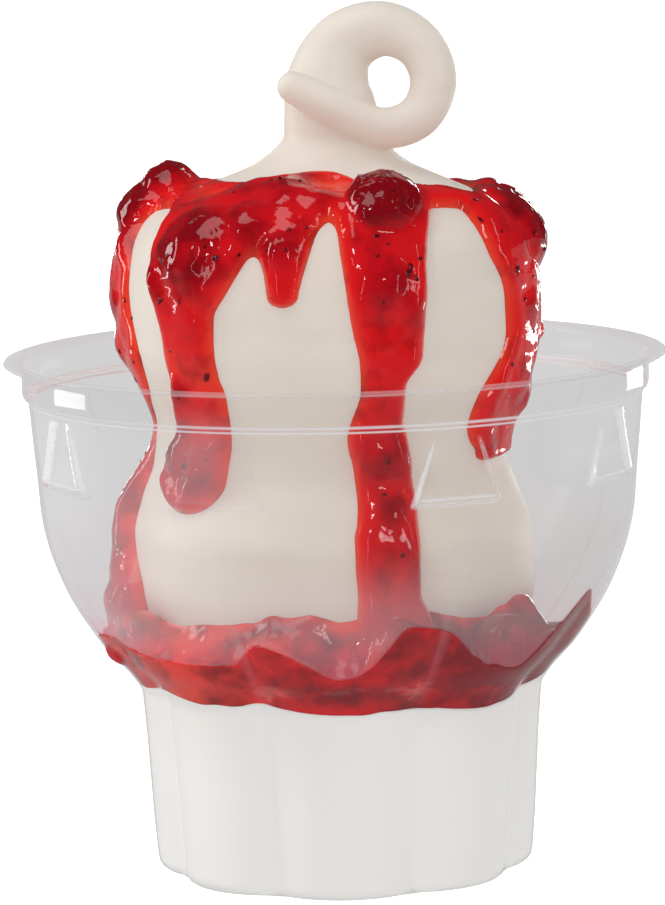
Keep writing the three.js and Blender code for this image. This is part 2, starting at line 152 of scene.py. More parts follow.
def fluted(azimuth, crest, height):
    """The radius of a ring of eight round lobes that meet in soft grooves: each lobe is an arc
    round its own centre, placed so that the arcs meet at the depth of the groove. The azimuth
    turns back over about a degree at the groove, which rounds it."""
    half = 180 / FLUTES
    off = np.abs((azimuth + half) % (2 * half) - half)
    off = half - np.sqrt((half - off) ** 2 + 1.1**2)
    groove = crest - flute_depth(height) * np.minimum(1, crest / FOOT_CREST) ** 2
    cos_half = math.cos(math.radians(half))
    centre = (crest**2 - groove**2) / (2 * (crest - groove * cos_half))
    angle = np.radians(off)
    return centre * np.cos(angle) + np.sqrt((crest - centre) ** 2 - (centre * np.sin(angle)) ** 2)


def lug_share(height):
    """How far up a lug a height is, 0 at its foot and 1 at its top."""
    return (height - LUG_BOTTOM) / (LUG_TOP - LUG_BOTTOM)


def lug_half(height):
    """Half the width of a lug at a height, straight from its foot to its top."""
    return LUG_HALF_BOTTOM + (LUG_HALF_TOP - LUG_HALF_BOTTOM) * lug_share(height)


def lug_push(azimuth, radius, height):
    """How far the lugs push the sheet out: up to a flat upright face inside each trapezium, with
    edges eased over about a millimetre and a sloping ledge at the bottom."""
    push = np.zeros(np.broadcast(azimuth, height).shape)
    for middle in LUGS:
        off = turn_from(middle, azimuth)
        across = np.abs(np.radians(off)) * radius
        inside = ramp(lug_half(height) - across, -0.45, 0.45)
        inside = inside * ramp(height, LUG_BOTTOM - 0.7, LUG_BOTTOM + 0.8)
        near = np.abs(off) < 20
        face = LUG_FACE / np.cos(np.radians(np.where(near, off, 0)))
        push = np.maximum(push, np.where(near, inside * np.maximum(face - radius, 0), 0))
    return push


def lug_distance(azimuth, points):
    """How far each point of the sheet lies inside the nearest lug's sides and foot, in
    millimetres, and how far outside as a negative number."""
    height = points[..., 2]
    radius = np.hypot(points[..., 0], points[..., 1])
    inside = np.full(height.shape, -3.0)
    for middle in LUGS:
        across = np.abs(np.radians(turn_from(middle, azimuth))) * radius
        nearest = np.minimum(0.95 * (lug_half(height) - across), height - LUG_BOTTOM)
        inside = np.maximum(inside, nearest)
    return np.minimum(inside, 3.0)


def lug_line_glint(azimuth):
    """How bright the painted highlight lines are on the lug an azimuth lies on, and 0 between lugs."""
    found = np.zeros(np.shape(azimuth))
    for middle, crisp in LUGS.items():
        found = np.where(np.abs(turn_from(middle, azimuth)) < 14, crisp, found)
    return found


def lug_highlight_stripe(azimuth, height):
    """1 on a strip of two millimetres inside the outer side of the bright lugs, from a little
    above their foot to a little below their top: a painted highlight, a lamp mirrored in the lug's side."""
    found = np.zeros(np.broadcast(azimuth, height).shape)
    for middle in BRIGHT_LUGS:
        out = np.sign(middle) * np.radians(turn_from(middle, azimuth)) * LUG_FACE
        inside = lug_half(height) - np.where(np.abs(out) < 12, out, 99)
        found = np.maximum(found, band(inside, 0.0, 0.3, 1.8, 2.2))
    return found * band(lug_share(height), 0.05, 0.1, 0.9, 0.95)


def cup_azimuths():
    """Where the cup's columns stand: about a degree apart, and closer on the sides of the lugs."""
    fine = np.arange(0, 360, 0.05)
    off = np.min([np.abs(turn_from(middle, fine)) for middle in LUGS], axis=0)
    density = 0.9 + 1.6 * band(off, 2.2, 3.2, 8.6, 9.6)
    share = np.concatenate([[0], np.cumsum(density)])
    at = np.arange(CUP_COLUMNS) / CUP_COLUMNS * share[-1]
    return np.interp(at, share, np.append(fine, 360))[None, :]


def cup_sheet(azimuth):
    """The sheet's middle surface on a grid of rows along its path and columns round the axis."""
    path = np.array(CUP_PATH)
    length = np.concatenate([[0], np.cumsum(np.hypot(*np.diff(path[:, :2], axis=0).T))])
    spans = zip(length, length[1:], path[:, 2])
    along = [np.linspace(start, end, int(rows), endpoint=False) for start, end, rows in spans]
    along = np.append(np.concatenate(along), length[-1])
    crest = eased(length, path[:, 0], along)[:, None]
    height = eased(length, path[:, 1], along)[:, None]
    radius = fluted(azimuth, crest, height)
    radius = radius + lug_push(azimuth, radius, height)
    return around(azimuth, radius, height + 0 * azimuth)


def outward_normals(points):
    """Unit normals of a grid that closes round its columns: the cross product of the steps to
    the neighbours, pointing away from the axis."""
    down = np.gradient(points, axis=0)
    across = np.roll(points, -1, axis=1) - np.roll(points, 1, axis=1)
    normal = np.cross(across, down)
    return normal / np.maximum(np.linalg.norm(normal, axis=2, keepdims=True), 1e-12)


def attribute(piece, name, values):
    """Stores a number for each point of a piece, for its material to read."""
    values = np.ascontiguousarray(values, np.float32).ravel()
    piece.data.attributes.new(name, "FLOAT", "POINT").data.foreach_set("value", values)


def mesh_piece(name, points, *faces):
    """A smooth-shaded piece from points in millimetres and arrays of triangles or quads, turned
    the right way out: its volume, the sum of the tetrahedra under its faces, is made positive."""
    corners = np.concatenate([f.ravel() for f in faces]).astype(np.int32)
    totals = np.concatenate([np.full(len(f), f.shape[1]) for f in faces]).astype(np.int32)
    fans = [f[:, [0, k, k + 1]] for f in faces for k in range(1, f.shape[1] - 1)]
    a, b, c = (points[np.concatenate(fans)[:, k]] for k in range(3))
    if np.einsum("ij,ij->i", a, np.cross(b, c)).sum() < 0:
        corners = np.concatenate([f[:, ::-1].ravel() for f in faces]).astype(np.int32)
    mesh = bpy.data.meshes.new(name)
    mesh.vertices.add(len(points))
    mesh.vertices.foreach_set("co", (points * MM).astype(np.float32).ravel())
    mesh.loops.add(len(corners))
    mesh.loops.foreach_set("vertex_index", corners)
    mesh.polygons.add(len(totals))
    mesh.polygons.foreach_set("loop_start", (np.cumsum(totals) - totals).astype(np.int32))
    mesh.update(calc_edges=True)
    mesh.validate()
    mesh.shade_smooth()
    piece = bpy.data.objects.new(name, mesh)
    bpy.context.scene.collection.objects.link(piece)
    return piece


def ring_faces(rings):
    """The faces of a closed body given by its rings, [ring, column, xyz]: quads between the
    rings, and a fan of triangles at each end to the middle of the end ring. Returns the points
    with the two middles added, the quads and the triangles."""
    rows, columns = rings.shape[:2]
    index = np.arange(rows * columns).reshape(rows, columns)
    beside = np.roll(index, -1, axis=1)
    quads = np.stack([index[:-1], beside[:-1], beside[1:], index[1:]], axis=-1).reshape(-1, 4)
    points = np.concatenate([rings.reshape(-1, 3), rings[:1].mean(axis=1), rings[-1:].mean(axis=1)])
    first = np.stack([np.full(columns, rows * columns), beside[0], index[0]], axis=-1)
    last = np.stack([np.full(columns, rows * columns + 1), index[-1], beside[-1]], axis=-1)
    return points, quads, np.concatenate([first, last])


def on_both_faces(outer, inner):
    """A number for each point of the cup, from its values on the outer and the inner face."""
    return np.concatenate([outer.ravel(), outer[-1], inner[::-1].ravel(), [0, 0]])


columns = cup_azimuths()
sheet = cup_sheet(columns)
half_sheet = outward_normals(sheet) * SHEET / 2
edge = sheet[-1:] + around(columns, 0.2, -0.02)
cup = mesh_piece(
    "clear_cup", *ring_faces(np.concatenate([sheet + half_sheet, edge, (sheet - half_sheet)[::-1]]))
)

# The bends of the grooves and the outer sides of two lugs get pale lines and strips: painted
# highlights, white haze standing in for lamps mirrored in them. The flange is pale too, partly
# the whitish trimmed sheet and partly a painted glow of light piped through it. A white veil is
# painted on the inside of the wall, standing in for the room and the softboxes mirrored there:
# all round just above the pool, on the left, where the sauce almost touches it, and on the right
# where a drip does. Each band says where it starts, is full, fades and ends, in degrees round
# the cup or millimetres up it.
turned = turn_from(0, columns)
height = sheet[..., 2]
groove_line = np.exp(-(((columns % (360 / FLUTES) - 180 / FLUTES) / 0.9) ** 2))
pale = np.maximum(0.2 * groove_line * band(height, 27.5, 32, 50, 57), 0.28 * ramp(height, 77.5, 78.0))
pale = np.maximum(pale, 1.7 * lug_highlight_stripe(columns, height))
low_veil = 0.38 * band(height, 27, 30, 44, 56)
left_veil = 0.42 * band(turned, -92, -76, -24, -14) + 0.35 * band(turned, -92, -76, -62, -36)
left_veil = left_veil * band(height, 30, 40, 70, 77)
right_veil = 0.7 * band(turned, 36, 50, 84, 100) * band(height, 60, 66, 72, 77)
painted_veil = np.max([pale, low_veil, left_veil, right_veil], axis=0)
# How bright the painted highlight lines along each lug's edges are
crisp = lug_line_glint(columns) + 0 * pale
distance = lug_distance(columns, sheet)
attribute(cup, "pale", on_both_faces(pale, painted_veil))
attribute(cup, "lug", on_both_faces(distance, distance))
attribute(cup, "crisp", on_both_faces(crisp, crisp))
attribute(cup, "inner", on_both_faces(0 * pale, 1 + 0 * pale))


def linear(code):
    """An sRGB hex colour as the linear values that a shader takes."""
    parts = [int(code[i : i + 2], 16) / 255 for i in (1, 3, 5)]
    return (*(c / 12.92 if c <= 0.04045 else ((c + 0.055) / 1.055) ** 2.4 for c in parts), 1.0)


def add(tree, kind, settings=None, **links):
    """Adds a node, with its settings, and each input's value or what feeds it: an output, or a
    node for its first output. An input is named by its label with _ for a space, or by i and its
    number. The setting "stops" gives a colour ramp its positions and sRGB hex colours."""
    node = tree.nodes.new(kind)
    for name, value in (settings or {}).items():
        if name == "stops":
            for _ in value[2:]:
                node.color_ramp.elements.new(1.0)
            for element, (position, code) in zip(node.color_ramp.elements, value):
                element.position, element.color = position, linear(code)
        else:
            setattr(node, name, value)
    for name, value in links.items():
        socket = node.inputs[int(name[1:])] if name[1:].isdigit() else node.inputs[name.replace("_", " ")]
        if isinstance(value, bpy.types.Node):
            value = value.outputs[0]
        if isinstance(value, bpy.types.NodeSocket):
            tree.links.new(value, socket)
        else:
            socket.default_value = value
    return node


# Settings of Math nodes
TIMES, TIMES_PLUS = {"operation": "MULTIPLY"}, {"operation": "MULTIPLY_ADD"}
MINUS, SIZE_OF, LARGER = {"operation": "SUBTRACT"}, {"operation": "ABSOLUTE"}, {"operation": "MAXIMUM"}


def material(name):
    """An empty material, its node tree, and the Object coordinates for its patterns."""
    made = bpy.data.materials.new(name)
    made.use_nodes = True
    made.node_tree.nodes.clear()
    return made, made.node_tree, add(made.node_tree, "ShaderNodeTexCoord").outputs["Object"]


def per(size):
    """The scale that gives a texture's pattern a size in millimetres."""
    return 1 / (size * MM)


def line(tree, value, middle, reach):
    """1 where a value is at a middle, falling to 0 at a reach from it."""
    off = add(tree, "ShaderNodeMath", MINUS, i0=value, i1=middle)
    away = add(tree, "ShaderNodeMath", SIZE_OF, i0=off)
    return add(tree, "ShaderNodeMapRange", Value=away, From_Min=reach, From_Max=0.3 * reach)


# Clear PET sheet, thermoformed: glossy on both sides and thin enough that light goes straight
# through it. It mirrors more and more towards its edges, the side that faces the eye most, it
# has a faint grey tint and a trace of haze, and the mould has left slow waves in it.
pet, tree, place = material("clear_pet_sheet")
height_at = add(tree, "ShaderNodeSeparateXYZ", Vector=place).outputs["Z"]
pale_at, lug_at, line_glint_at, inner_at = (
    add(tree, "ShaderNodeAttribute", {"attribute_name": name}).outputs["Fac"]
    for name in ("pale", "lug", "crisp", "inner")
)
# The edges of the lugs and the bends under the band are pale lines: painted highlights, white
# haze standing in for the light that the bends catch
below_band = add(tree, "ShaderNodeMapRange", Value=height_at, From_Min=71.2 * MM, From_Max=69 * MM)
within = add(tree, "ShaderNodeMapRange", Value=lug_at, From_Min=0.2, From_Max=0.6)
lug_sides = add(tree, "ShaderNodeMath", TIMES, i0=line(tree, lug_at, 0.0, 0.36), i1=below_band)
lug_foot = line(tree, height_at, (LUG_BOTTOM + 0.9) * MM, 0.36 * MM)
lug_foot = add(tree, "ShaderNodeMath", TIMES, i0=lug_foot, i1=within)
lines = add(tree, "ShaderNodeMath", LARGER, i0=lug_sides, i1=lug_foot)
lines = add(tree, "ShaderNodeMath", TIMES, i0=lines, i1=line_glint_at)
for bend, reach in ((73.05, 0.32), (LUG_TOP, 0.2)):
    lines = add(tree, "ShaderNodeMath", LARGER, i0=lines, i1=line(tree, height_at, bend * MM, reach * MM))
# The painted highlight lines and the painted veil, as a share of white haze, over a trace of real haze
pale_share = add(tree, "ShaderNodeMath", LARGER, i0=lines, i1=pale_at)
# The painted veil is tinted pink and made stronger near the pool, standing in for the red
# sauce seen through the light that the wall mirrors there. The stops are heights in millimetres.
BLUSH = [(25, "#F0EEF2"), (28, "#FFB2C4"), (36, "#FFB2C4"), (42, "#F0EEF2")]
up_to_50 = add(tree, "ShaderNodeMath", TIMES, i0=height_at, i1=per(50))
blush_stops = [(level / 50, code) for level, code in BLUSH]
blush = add(tree, "ShaderNodeValToRGB", {"stops": blush_stops}, Fac=up_to_50)
near_pool = add(
    tree, "ShaderNodeMapRange", Value=height_at, From_Min=45 * MM, From_Max=38 * MM, To_Min=0.5, To_Max=0.62
)
haze_and_painted_light = add(tree, "ShaderNodeMath", TIMES_PLUS, i0=pale_share, i1=near_pool, i2=0.004)
clear = add(tree, "ShaderNodeBsdfTransparent", Color=linear("#FDFDFD"))
haze = add(tree, "ShaderNodeBsdfDiffuse", Color=blush)
body = add(tree, "ShaderNodeMixShader", i0=haze_and_painted_light, i1=clear, i2=haze)
waves = add(tree, "ShaderNodeTexNoise", Vector=place, Scale=per(16.7), Detail=2.0)
bump = add(tree, "ShaderNodeBump", Strength=0.05, Distance=1.0 * MM, Height=waves)
blur = add(tree, "ShaderNodeMath", TIMES_PLUS, i0=inner_at, i1=0.45, i2=0.05)
gloss = add(tree, "ShaderNodeBsdfGlossy", Color=linear("#FFFFFF"), Roughness=blur, Normal=bump)
facing = add(tree, "ShaderNodeLayerWeight", Blend=0.5).outputs["Facing"]
fall = add(tree, "ShaderNodeMath", {"operation": "POWER"}, i0=facing, i1=4.0)
mirror = add(tree, "ShaderNodeMath", TIMES_PLUS, i0=fall, i1=0.16, i2=0.036)
outer_only = add(tree, "ShaderNodeMath", TIMES_PLUS, i0=inner_at, i1=-0.7, i2=1.0)
mirror = add(tree, "ShaderNodeMath", TIMES, i0=mirror, i1=outer_only)
behind = add(tree, "ShaderNodeNewGeometry").outputs["Backfacing"]
near_face = add(tree, "ShaderNodeMath", TIMES_PLUS, i0=behind, i1=-0.9, i2=1.0)
mirror = add(tree, "ShaderNodeMath", TIMES, i0=mirror, i1=near_face)
coated = add(tree, "ShaderNodeMixShader", i0=mirror, i1=body, i2=gloss)
# It casts no shadow and dims no soft light
unlit = add(tree, "ShaderNodeBsdfTransparent", Color=linear("#FFFFFF"))
path_kind = add(tree, "ShaderNodeLightPath").outputs
through = add(
    tree, "ShaderNodeMath", LARGER, i0=path_kind["Is Shadow Ray"], i1=path_kind["Is Diffuse Ray"]
)
seen = add(tree, "ShaderNodeMixShader", i0=through, i1=coated, i2=unlit)
add(tree, "ShaderNodeOutputMaterial", Surface=seen)
cup.data.materials.append(pet)
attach(cup, "root")
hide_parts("cup")

# ---- Soft serve ----
# Vanilla soft serve from a round nozzle: it fills the foot of the cup, rises in two round tiers
# with a waist between them, and ends in a neck that curls over into a loop with a blunt tip.

ICE_COLUMNS, NECK_COLUMNS = 300, 96
CAP_RINGS = 8  # of a rope's rounded end
TIERS_TOP, NECK_FOOT = 105.2, 101.5  # the neck covers the top of the tiers
# The tiers' outline from the foot of the lower one to the top of the neck: radius, height
TIERS = [
    (26.2, 25),
    (27, 31),
    (28.8, 37.5),
    (30.2, 45),
    (30.2, 51.5),
    (28.6, 57.5),
    (26.9, 63),
    (27.4, 68),
    (29.2, 74.3),
    (30.6, 81.5),
    (30.6, 89),
    (29.3, 95),
    (27, 99),
    (23.4, 101.9),
    (19, 103.8),
    (15, 105.4),
    (11.5, 107),
    (9.2, 109),
    (7.6, 112),
]
# How far the outline leans to the right at a height: height, lean
LEAN = [(25, -0.5), (60, -0.9), (83, -1.4), (99, -1.2), (106, 0), (112, 0.5)]
# A hollow in the left of the waist: azimuth, height, depth, spread in degrees and in height
WAIST_HOLLOW = (-95, 70.5, 2.1, 28, 6.5)
# The curl's centre line as x, y, z and radius, from the neck round the loop to the tip
LOOP = [
    (0.6, 0, 103.5, 9.5),
    (0.6, 0, 106.7, 7.4),
    (0.35, 0, 110.5, 7.25),
    (0.2, 0, 114.2, 7.05),
    (-0.1, 0.5, 119.1, 6.3),
    (2.6, 1, 124.8, 5.0),
    (8.4, 0, 126.9, 4.15),
    (13.6, -1.5, 124.4, 3.65),
    (15.6, -3, 119.1, 3.5),
    (13.1, -4.5, 113.9, 3.25),
    (8.2, -5.5, 112.4, 3.1),
    (3.9, -6.3, 113.8, 3.05),
    (0.8, -6.7, 115.5, 2.9),
    (-2.3, -6.7, 117.2, 2.7),
    (-4.0, -6.5, 118.2, 2.55),
    (-5.3, -6.3, 118.9, 2.45),
]


def noise(points, size, seed):
    """Smooth random values from -1 to 1 that change over a size: values hashed at the corners of
    a cubic lattice, eased between them."""
    cell = np.asarray(points) / size
    base = np.floor(cell).astype(np.int64)
    t = cell - base
    t = t**3 * (t * (t * 6 - 15) + 10)
    total = np.zeros(t.shape[:-1])
    for corner in itertools.product((0, 1), repeat=3):
        key = (base + corner) @ np.array([73856093, 19349663, 83492791]) + seed * 40503
        key = (key ^ (key >> 13)) * 1274126177
        value = ((key ^ (key >> 16)) & 0xFFFF) / 32767.5 - 1
        total += value * np.prod(np.where(corner, t, 1 - t), axis=-1)
    return total


TIER_PATH = np.array(TIERS[::-1], float)
TIER_LENGTHS = np.concatenate([[0], np.cumsum(np.hypot(*np.diff(TIER_PATH, axis=0).T))])


def tier_outline(length):
    """The radius and height of the tiers' outline at a length down from its top."""
    return eased(TIER_LENGTHS, TIER_PATH[:, 0], length), eased(TIER_LENGTHS, TIER_PATH[:, 1], length)


def length_at(height):
    """The length along the tiers' outline from its top down to a height."""
    fine = np.linspace(0, TIER_LENGTHS[-1], 2000)
    return np.interp(-np.asarray(height, float), -tier_outline(fine)[1], fine)


def on_tiers(azimuth, length, out):
    """Points on the two tiers, moved out along their normal. The outline is turned round the
    axis, leaned sideways with height, and made uneven by two slow waves round it and by a hollow
    in the waist, a bell in both directions."""
    radius, height = tier_outline(length)
    ahead, behind = tier_outline(length + 0.3), tier_outline(length - 0.3)
    run, fall = ahead[0] - behind[0], ahead[1] - behind[1]
    size = np.maximum(np.hypot(run, fall), 1e-9)
    angle = np.radians(azimuth)
    waves = np.sin(3 * angle + height / 9) + 0.6 * np.sin(5 * angle - height / 7)
    middle, level, deep, spread, tall = WAIST_HOLLOW
    aside = turn_from(middle, azimuth) / spread
    hollow = deep * np.exp(-(aside**2) - ((height - level) / tall) ** 2)
    uneven = 0.35 * ramp(radius, 10, 24) * waves - hollow
    made = around(azimuth, radius + uneven - out * fall / size, height + out * run / size)
    made[..., 0] += eased(*zip(*LEAN), height)
    return made


def tube(stations, columns, step):
    """A closed round rope: rings set square to a centre line through the stations, a cubic
    between each two whose slope at a station is that of the chord past it, with a rounded cap
    of shrinking rings at each end."""
    stations = np.array(stations, float)
    spans = np.concatenate([[0], np.cumsum(np.linalg.norm(np.diff(stations[:, :3], axis=0), axis=1))])
    slope = np.gradient(stations, spans, axis=0)
    at = np.linspace(0, spans[-1], int(spans[-1] / step))
    i = np.clip(np.searchsorted(spans, at, side="right") - 1, 0, len(spans) - 2)
    gap = np.diff(spans)[i][:, None]
    t = (at - spans[i])[:, None] / gap
    along = (
        stations[i] * (1 + 2 * t) * (1 - t) ** 2
        + stations[i + 1] * t * t * (3 - 2 * t)
        + gap * t * (1 - t) * (slope[i] * (1 - t) - slope[i + 1] * t)
    )
    centre, radius = along[:, :3], along[:, 3]
    tangent = np.gradient(centre, axis=0)
    tangent /= np.linalg.norm(tangent, axis=1, keepdims=True)
    side = np.cross(tangent, np.array([0.0, 1.0, 0.15]))
    side /= np.linalg.norm(side, axis=1, keepdims=True)
    other = np.cross(tangent, side)
    cap = np.sin(np.linspace(0.12, 1, CAP_RINGS + 1)[:-1] * math.pi / 2)
    share = np.concatenate([cap, np.ones(len(at)), cap[::-1]])
    slide = np.concatenate([-np.sqrt(1 - cap**2), np.zeros(len(at)), np.sqrt(1 - cap[::-1] ** 2)])
    row = np.pad(np.arange(len(at)), CAP_RINGS, mode="edge")
    angle = (np.arange(columns) * 2 * math.pi / columns)[None, :, None]
    spoke = side[row][:, None] * np.cos(angle) + other[row][:, None] * np.sin(angle)
    middle = centre[row] + tangent[row] * (slide * radius[row])[:, None]
    return middle[:, None] + spoke * (radius[row] * share)[:, None, None]


def joined(name, bodies):
    """One piece from several closed bodies, each given by its rings."""
    points, faces, start = [], [], 0
    for rings in bodies:
        made, quads, fans = ring_faces(rings)
        points.append(made)
        faces += [quads + start, fans + start]
        start += len(made)
    return mesh_piece(name, np.concatenate(points), *faces)


def fused(name, bodies, voxel, passes):
    """One skin round several closed bodies: their union on a fine lattice, then smoothed."""
    raw = joined(name + "_raw", bodies)
    lattice = raw.modifiers.new("lattice", "REMESH")
    lattice.mode = "VOXEL"
    lattice.voxel_size = voxel * MM
    soften = raw.modifiers.new("soften", "SMOOTH")
    soften.factor = 0.5
    soften.iterations = passes
    mesh = bpy.data.meshes.new_from_object(raw.evaluated_get(bpy.context.evaluated_depsgraph_get()))
    bpy.data.objects.remove(raw)
    mesh.name = name
    mesh.shade_smooth()
    piece = bpy.data.objects.new(name, mesh)
    bpy.context.scene.collection.objects.link(piece)
    return piece


ice_azimuth = np.arange(ICE_COLUMNS)[None, :] * 360 / ICE_COLUMNS
ice_lengths = np.linspace(length_at(TIERS_TOP), TIER_LENGTHS[-1], 190)[:, None]
tiers = mesh_piece("soft_serve_tiers", *ring_faces(on_tiers(ice_azimuth, ice_lengths, 0.0)))

# The neck tapers at its top, inside the curl's thick end, and covers the top of the tiers
neck_azimuth = np.arange(NECK_COLUMNS)[None, :] * 360 / NECK_COLUMNS
neck_lengths = np.linspace(0, length_at(NECK_FOOT), 60)[:, None]
neck = on_tiers(neck_azimuth, neck_lengths, 0.03 - 0.8 * (1 - ramp(neck_lengths, 0, 4.5)))
curl = fused("soft_serve_curl", [neck, tube(LOOP, 64, 0.5)], 0.4, 12)

# The part in the foot touches the cup all over, so it reaches to the middle of the sheet. Its
# upper edge against the wall is uneven. Azimuth and height:
FOOT_EDGE = [
    (-180, 29.2), (-150, 30.1), (-120, 29.0), (-95, 29.4), (-79, 29.1), (-55, 30.6), (-39.5, 29.7),
    (-22, 30.2), (-12, 29.4), (1, 29), (21, 29.1), (32, 28.7), (46, 28.1), (57, 28.5), (70, 29),
    (85, 29.8), (110, 28.8), (140, 30.0), (180, 29.2),
]
# Its underside follows the recess in the base: radius and height
FOOT_BASE = [(15.6, 1.45), (20.8, 0.25), (26.0, 0.25)]


def wall_point(azimuth, height, inwards):
    """Points on the cup's sheet at a height between its base and its band, moved towards the
    axis."""
    crest, level = np.array(CUP_PATH)[6:-5, :2].T
    return around(azimuth, fluted(azimuth, eased(level, crest, height), height) - inwards, height)


def foot_edge(azimuth):
    """The height of the ice cream's edge against the wall, with a fine unevenness."""
    fine = 0.25 * noise(around(turn_from(0, azimuth), 30, 0), 3.1, 5)
    return eased(*zip(*FOOT_EDGE), turn_from(0, azimuth)) - 0.35 + fine


base_radius, base_height = np.array(FOOT_BASE).T[:, :, None]
base = around(ice_azimuth, base_radius, base_height)
foot_heights = np.linspace(0, 1, 50)[:, None]
wall = wall_point(ice_azimuth, 0.5 + (foot_edge(ice_azimuth) - 0.5) * foot_heights, 0.02)
lip = wall[-1:] * (0.97, 0.97, 1) + (0, 0, 0.1)
inner = around(ice_azimuth, 20.0, 29.0)
foot_fill = mesh_piece("soft_serve_foot", *ring_faces(np.concatenate([base, wall, lip, inner])))

# Vanilla soft serve, a whipped frozen cream: very smooth, satin, and letting a little light in,
# so that shades are soft and warm. It has faint streaks from the nozzle and a very fine grain.
soft_serve, tree, place = material("vanilla_soft_serve")
stretch = add(tree, "ShaderNodeMapping", Vector=place, Scale=(1.0, 1.0, 3.5))
streaks = add(tree, "ShaderNodeTexNoise", Vector=stretch, Scale=per(14.3), Detail=3.0)
tone = add(tree, "ShaderNodeValToRGB", {"stops": [(0.35, "#E4DACF"), (0.7, "#E8DFD4")]}, Fac=streaks)
grain = add(tree, "ShaderNodeTexNoise", Vector=place, Scale=per(0.71), Detail=2.0)
fine = add(tree, "ShaderNodeBump", Strength=0.05, Distance=0.3 * MM, Height=grain)
broad = add(tree, "ShaderNodeBump", Strength=0.03, Distance=2.0 * MM, Height=streaks, Normal=fine)
cream = add(
    tree,
    "ShaderNodeBsdfPrincipled",
    Base_Color=tone,
    Roughness=0.48,
    IOR=1.4,
    Subsurface_Weight=0.25,
    Subsurface_Radius=(1.0, 0.75, 0.5),
    Subsurface_Scale=3.0 * MM,
    Normal=broad,
)
add(tree, "ShaderNodeOutputMaterial", Surface=cream)
# The same cream in the foot is painted whiter, a lit copy standing in for the extra light that
# reaches down there, with faint patches of tone on it.
painted_lighter_cream, tree, place = material("vanilla_soft_serve_painted_lighter")
foot_patches = add(tree, "ShaderNodeTexNoise", Vector=place, Scale=per(22.2), Detail=3.0)
tone = add(tree, "ShaderNodeValToRGB", {"stops": [(0.3, "#F8F5F0"), (0.7, "#FCFAF7")]}, Fac=foot_patches)
pressed = add(
    tree,
    "ShaderNodeBsdfPrincipled",
    Base_Color=tone,
    Roughness=0.6,
    Subsurface_Weight=0.2,
    Subsurface_Radius=(1.0, 0.8, 0.6),
    Subsurface_Scale=2.0 * MM,
)
add(tree, "ShaderNodeOutputMaterial", Surface=pressed)
for piece, look in ((tiers, soft_serve), (curl, soft_serve), (foot_fill, painted_lighter_cream)):
    piece.data.materials.append(look)
    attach(piece, "root")
    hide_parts("ice_cream")

# ---- Strawberry sauce on the shoulder ----
# Thick strawberry sauce poured over the upper tier. It lies round the shoulder in a collar with
# rounded edges and runs down in drips, over bits of fruit that lift it into lumps.

SAUCE_COLUMNS = 450
SAUCE_STEP = 0.43
SAUCE_TOP, SAUCE_BOTTOM = 109.0, 33.0  # the heights between which it can lie
COLLAR = [
    # azimuth, lower edge, upper edge, thickness
    (-180, 99.5, 103.4, 1.8),
    (-150, 98.5, 103.4, 1.8),
    (-125, 99.5, 103.2, 1.4),
    (-105, 98.5, 104.3, 1.1),
    (-90, 99.8, 104.7, 1.1),
    (-70, 101.3, 104.9, 1.3),
    (-55, 99, 104.7, 1.7),
    (-42, 97, 104.8, 2.0),
    (-31, 96.8, 105.4, 2.0),
    (-18, 97.2, 106.1, 2.0),
    (-4, 99.6, 106.5, 1.7),
    (2, 100.7, 106.4, 1.6),
    (8.5, 99.8, 105.9, 1.7),
    (16, 97, 104.9, 2.0),
    (30, 98, 104.4, 1.8),
    (40, 101.5, 104.4, 1.3),
    (51, 101.1, 104.1, 1.2),
    (60, 98.4, 103.0, 1.2),
    (72, 97.0, 101.9, 1.2),
    (90, 97, 102.6, 1.7),
    (98.5, 97.5, 102.7, 1.7),
    (120, 98.5, 102.4, 1.8),
    (150, 98, 102.8, 1.8),
    (180, 99.5, 103.4, 1.8),
]
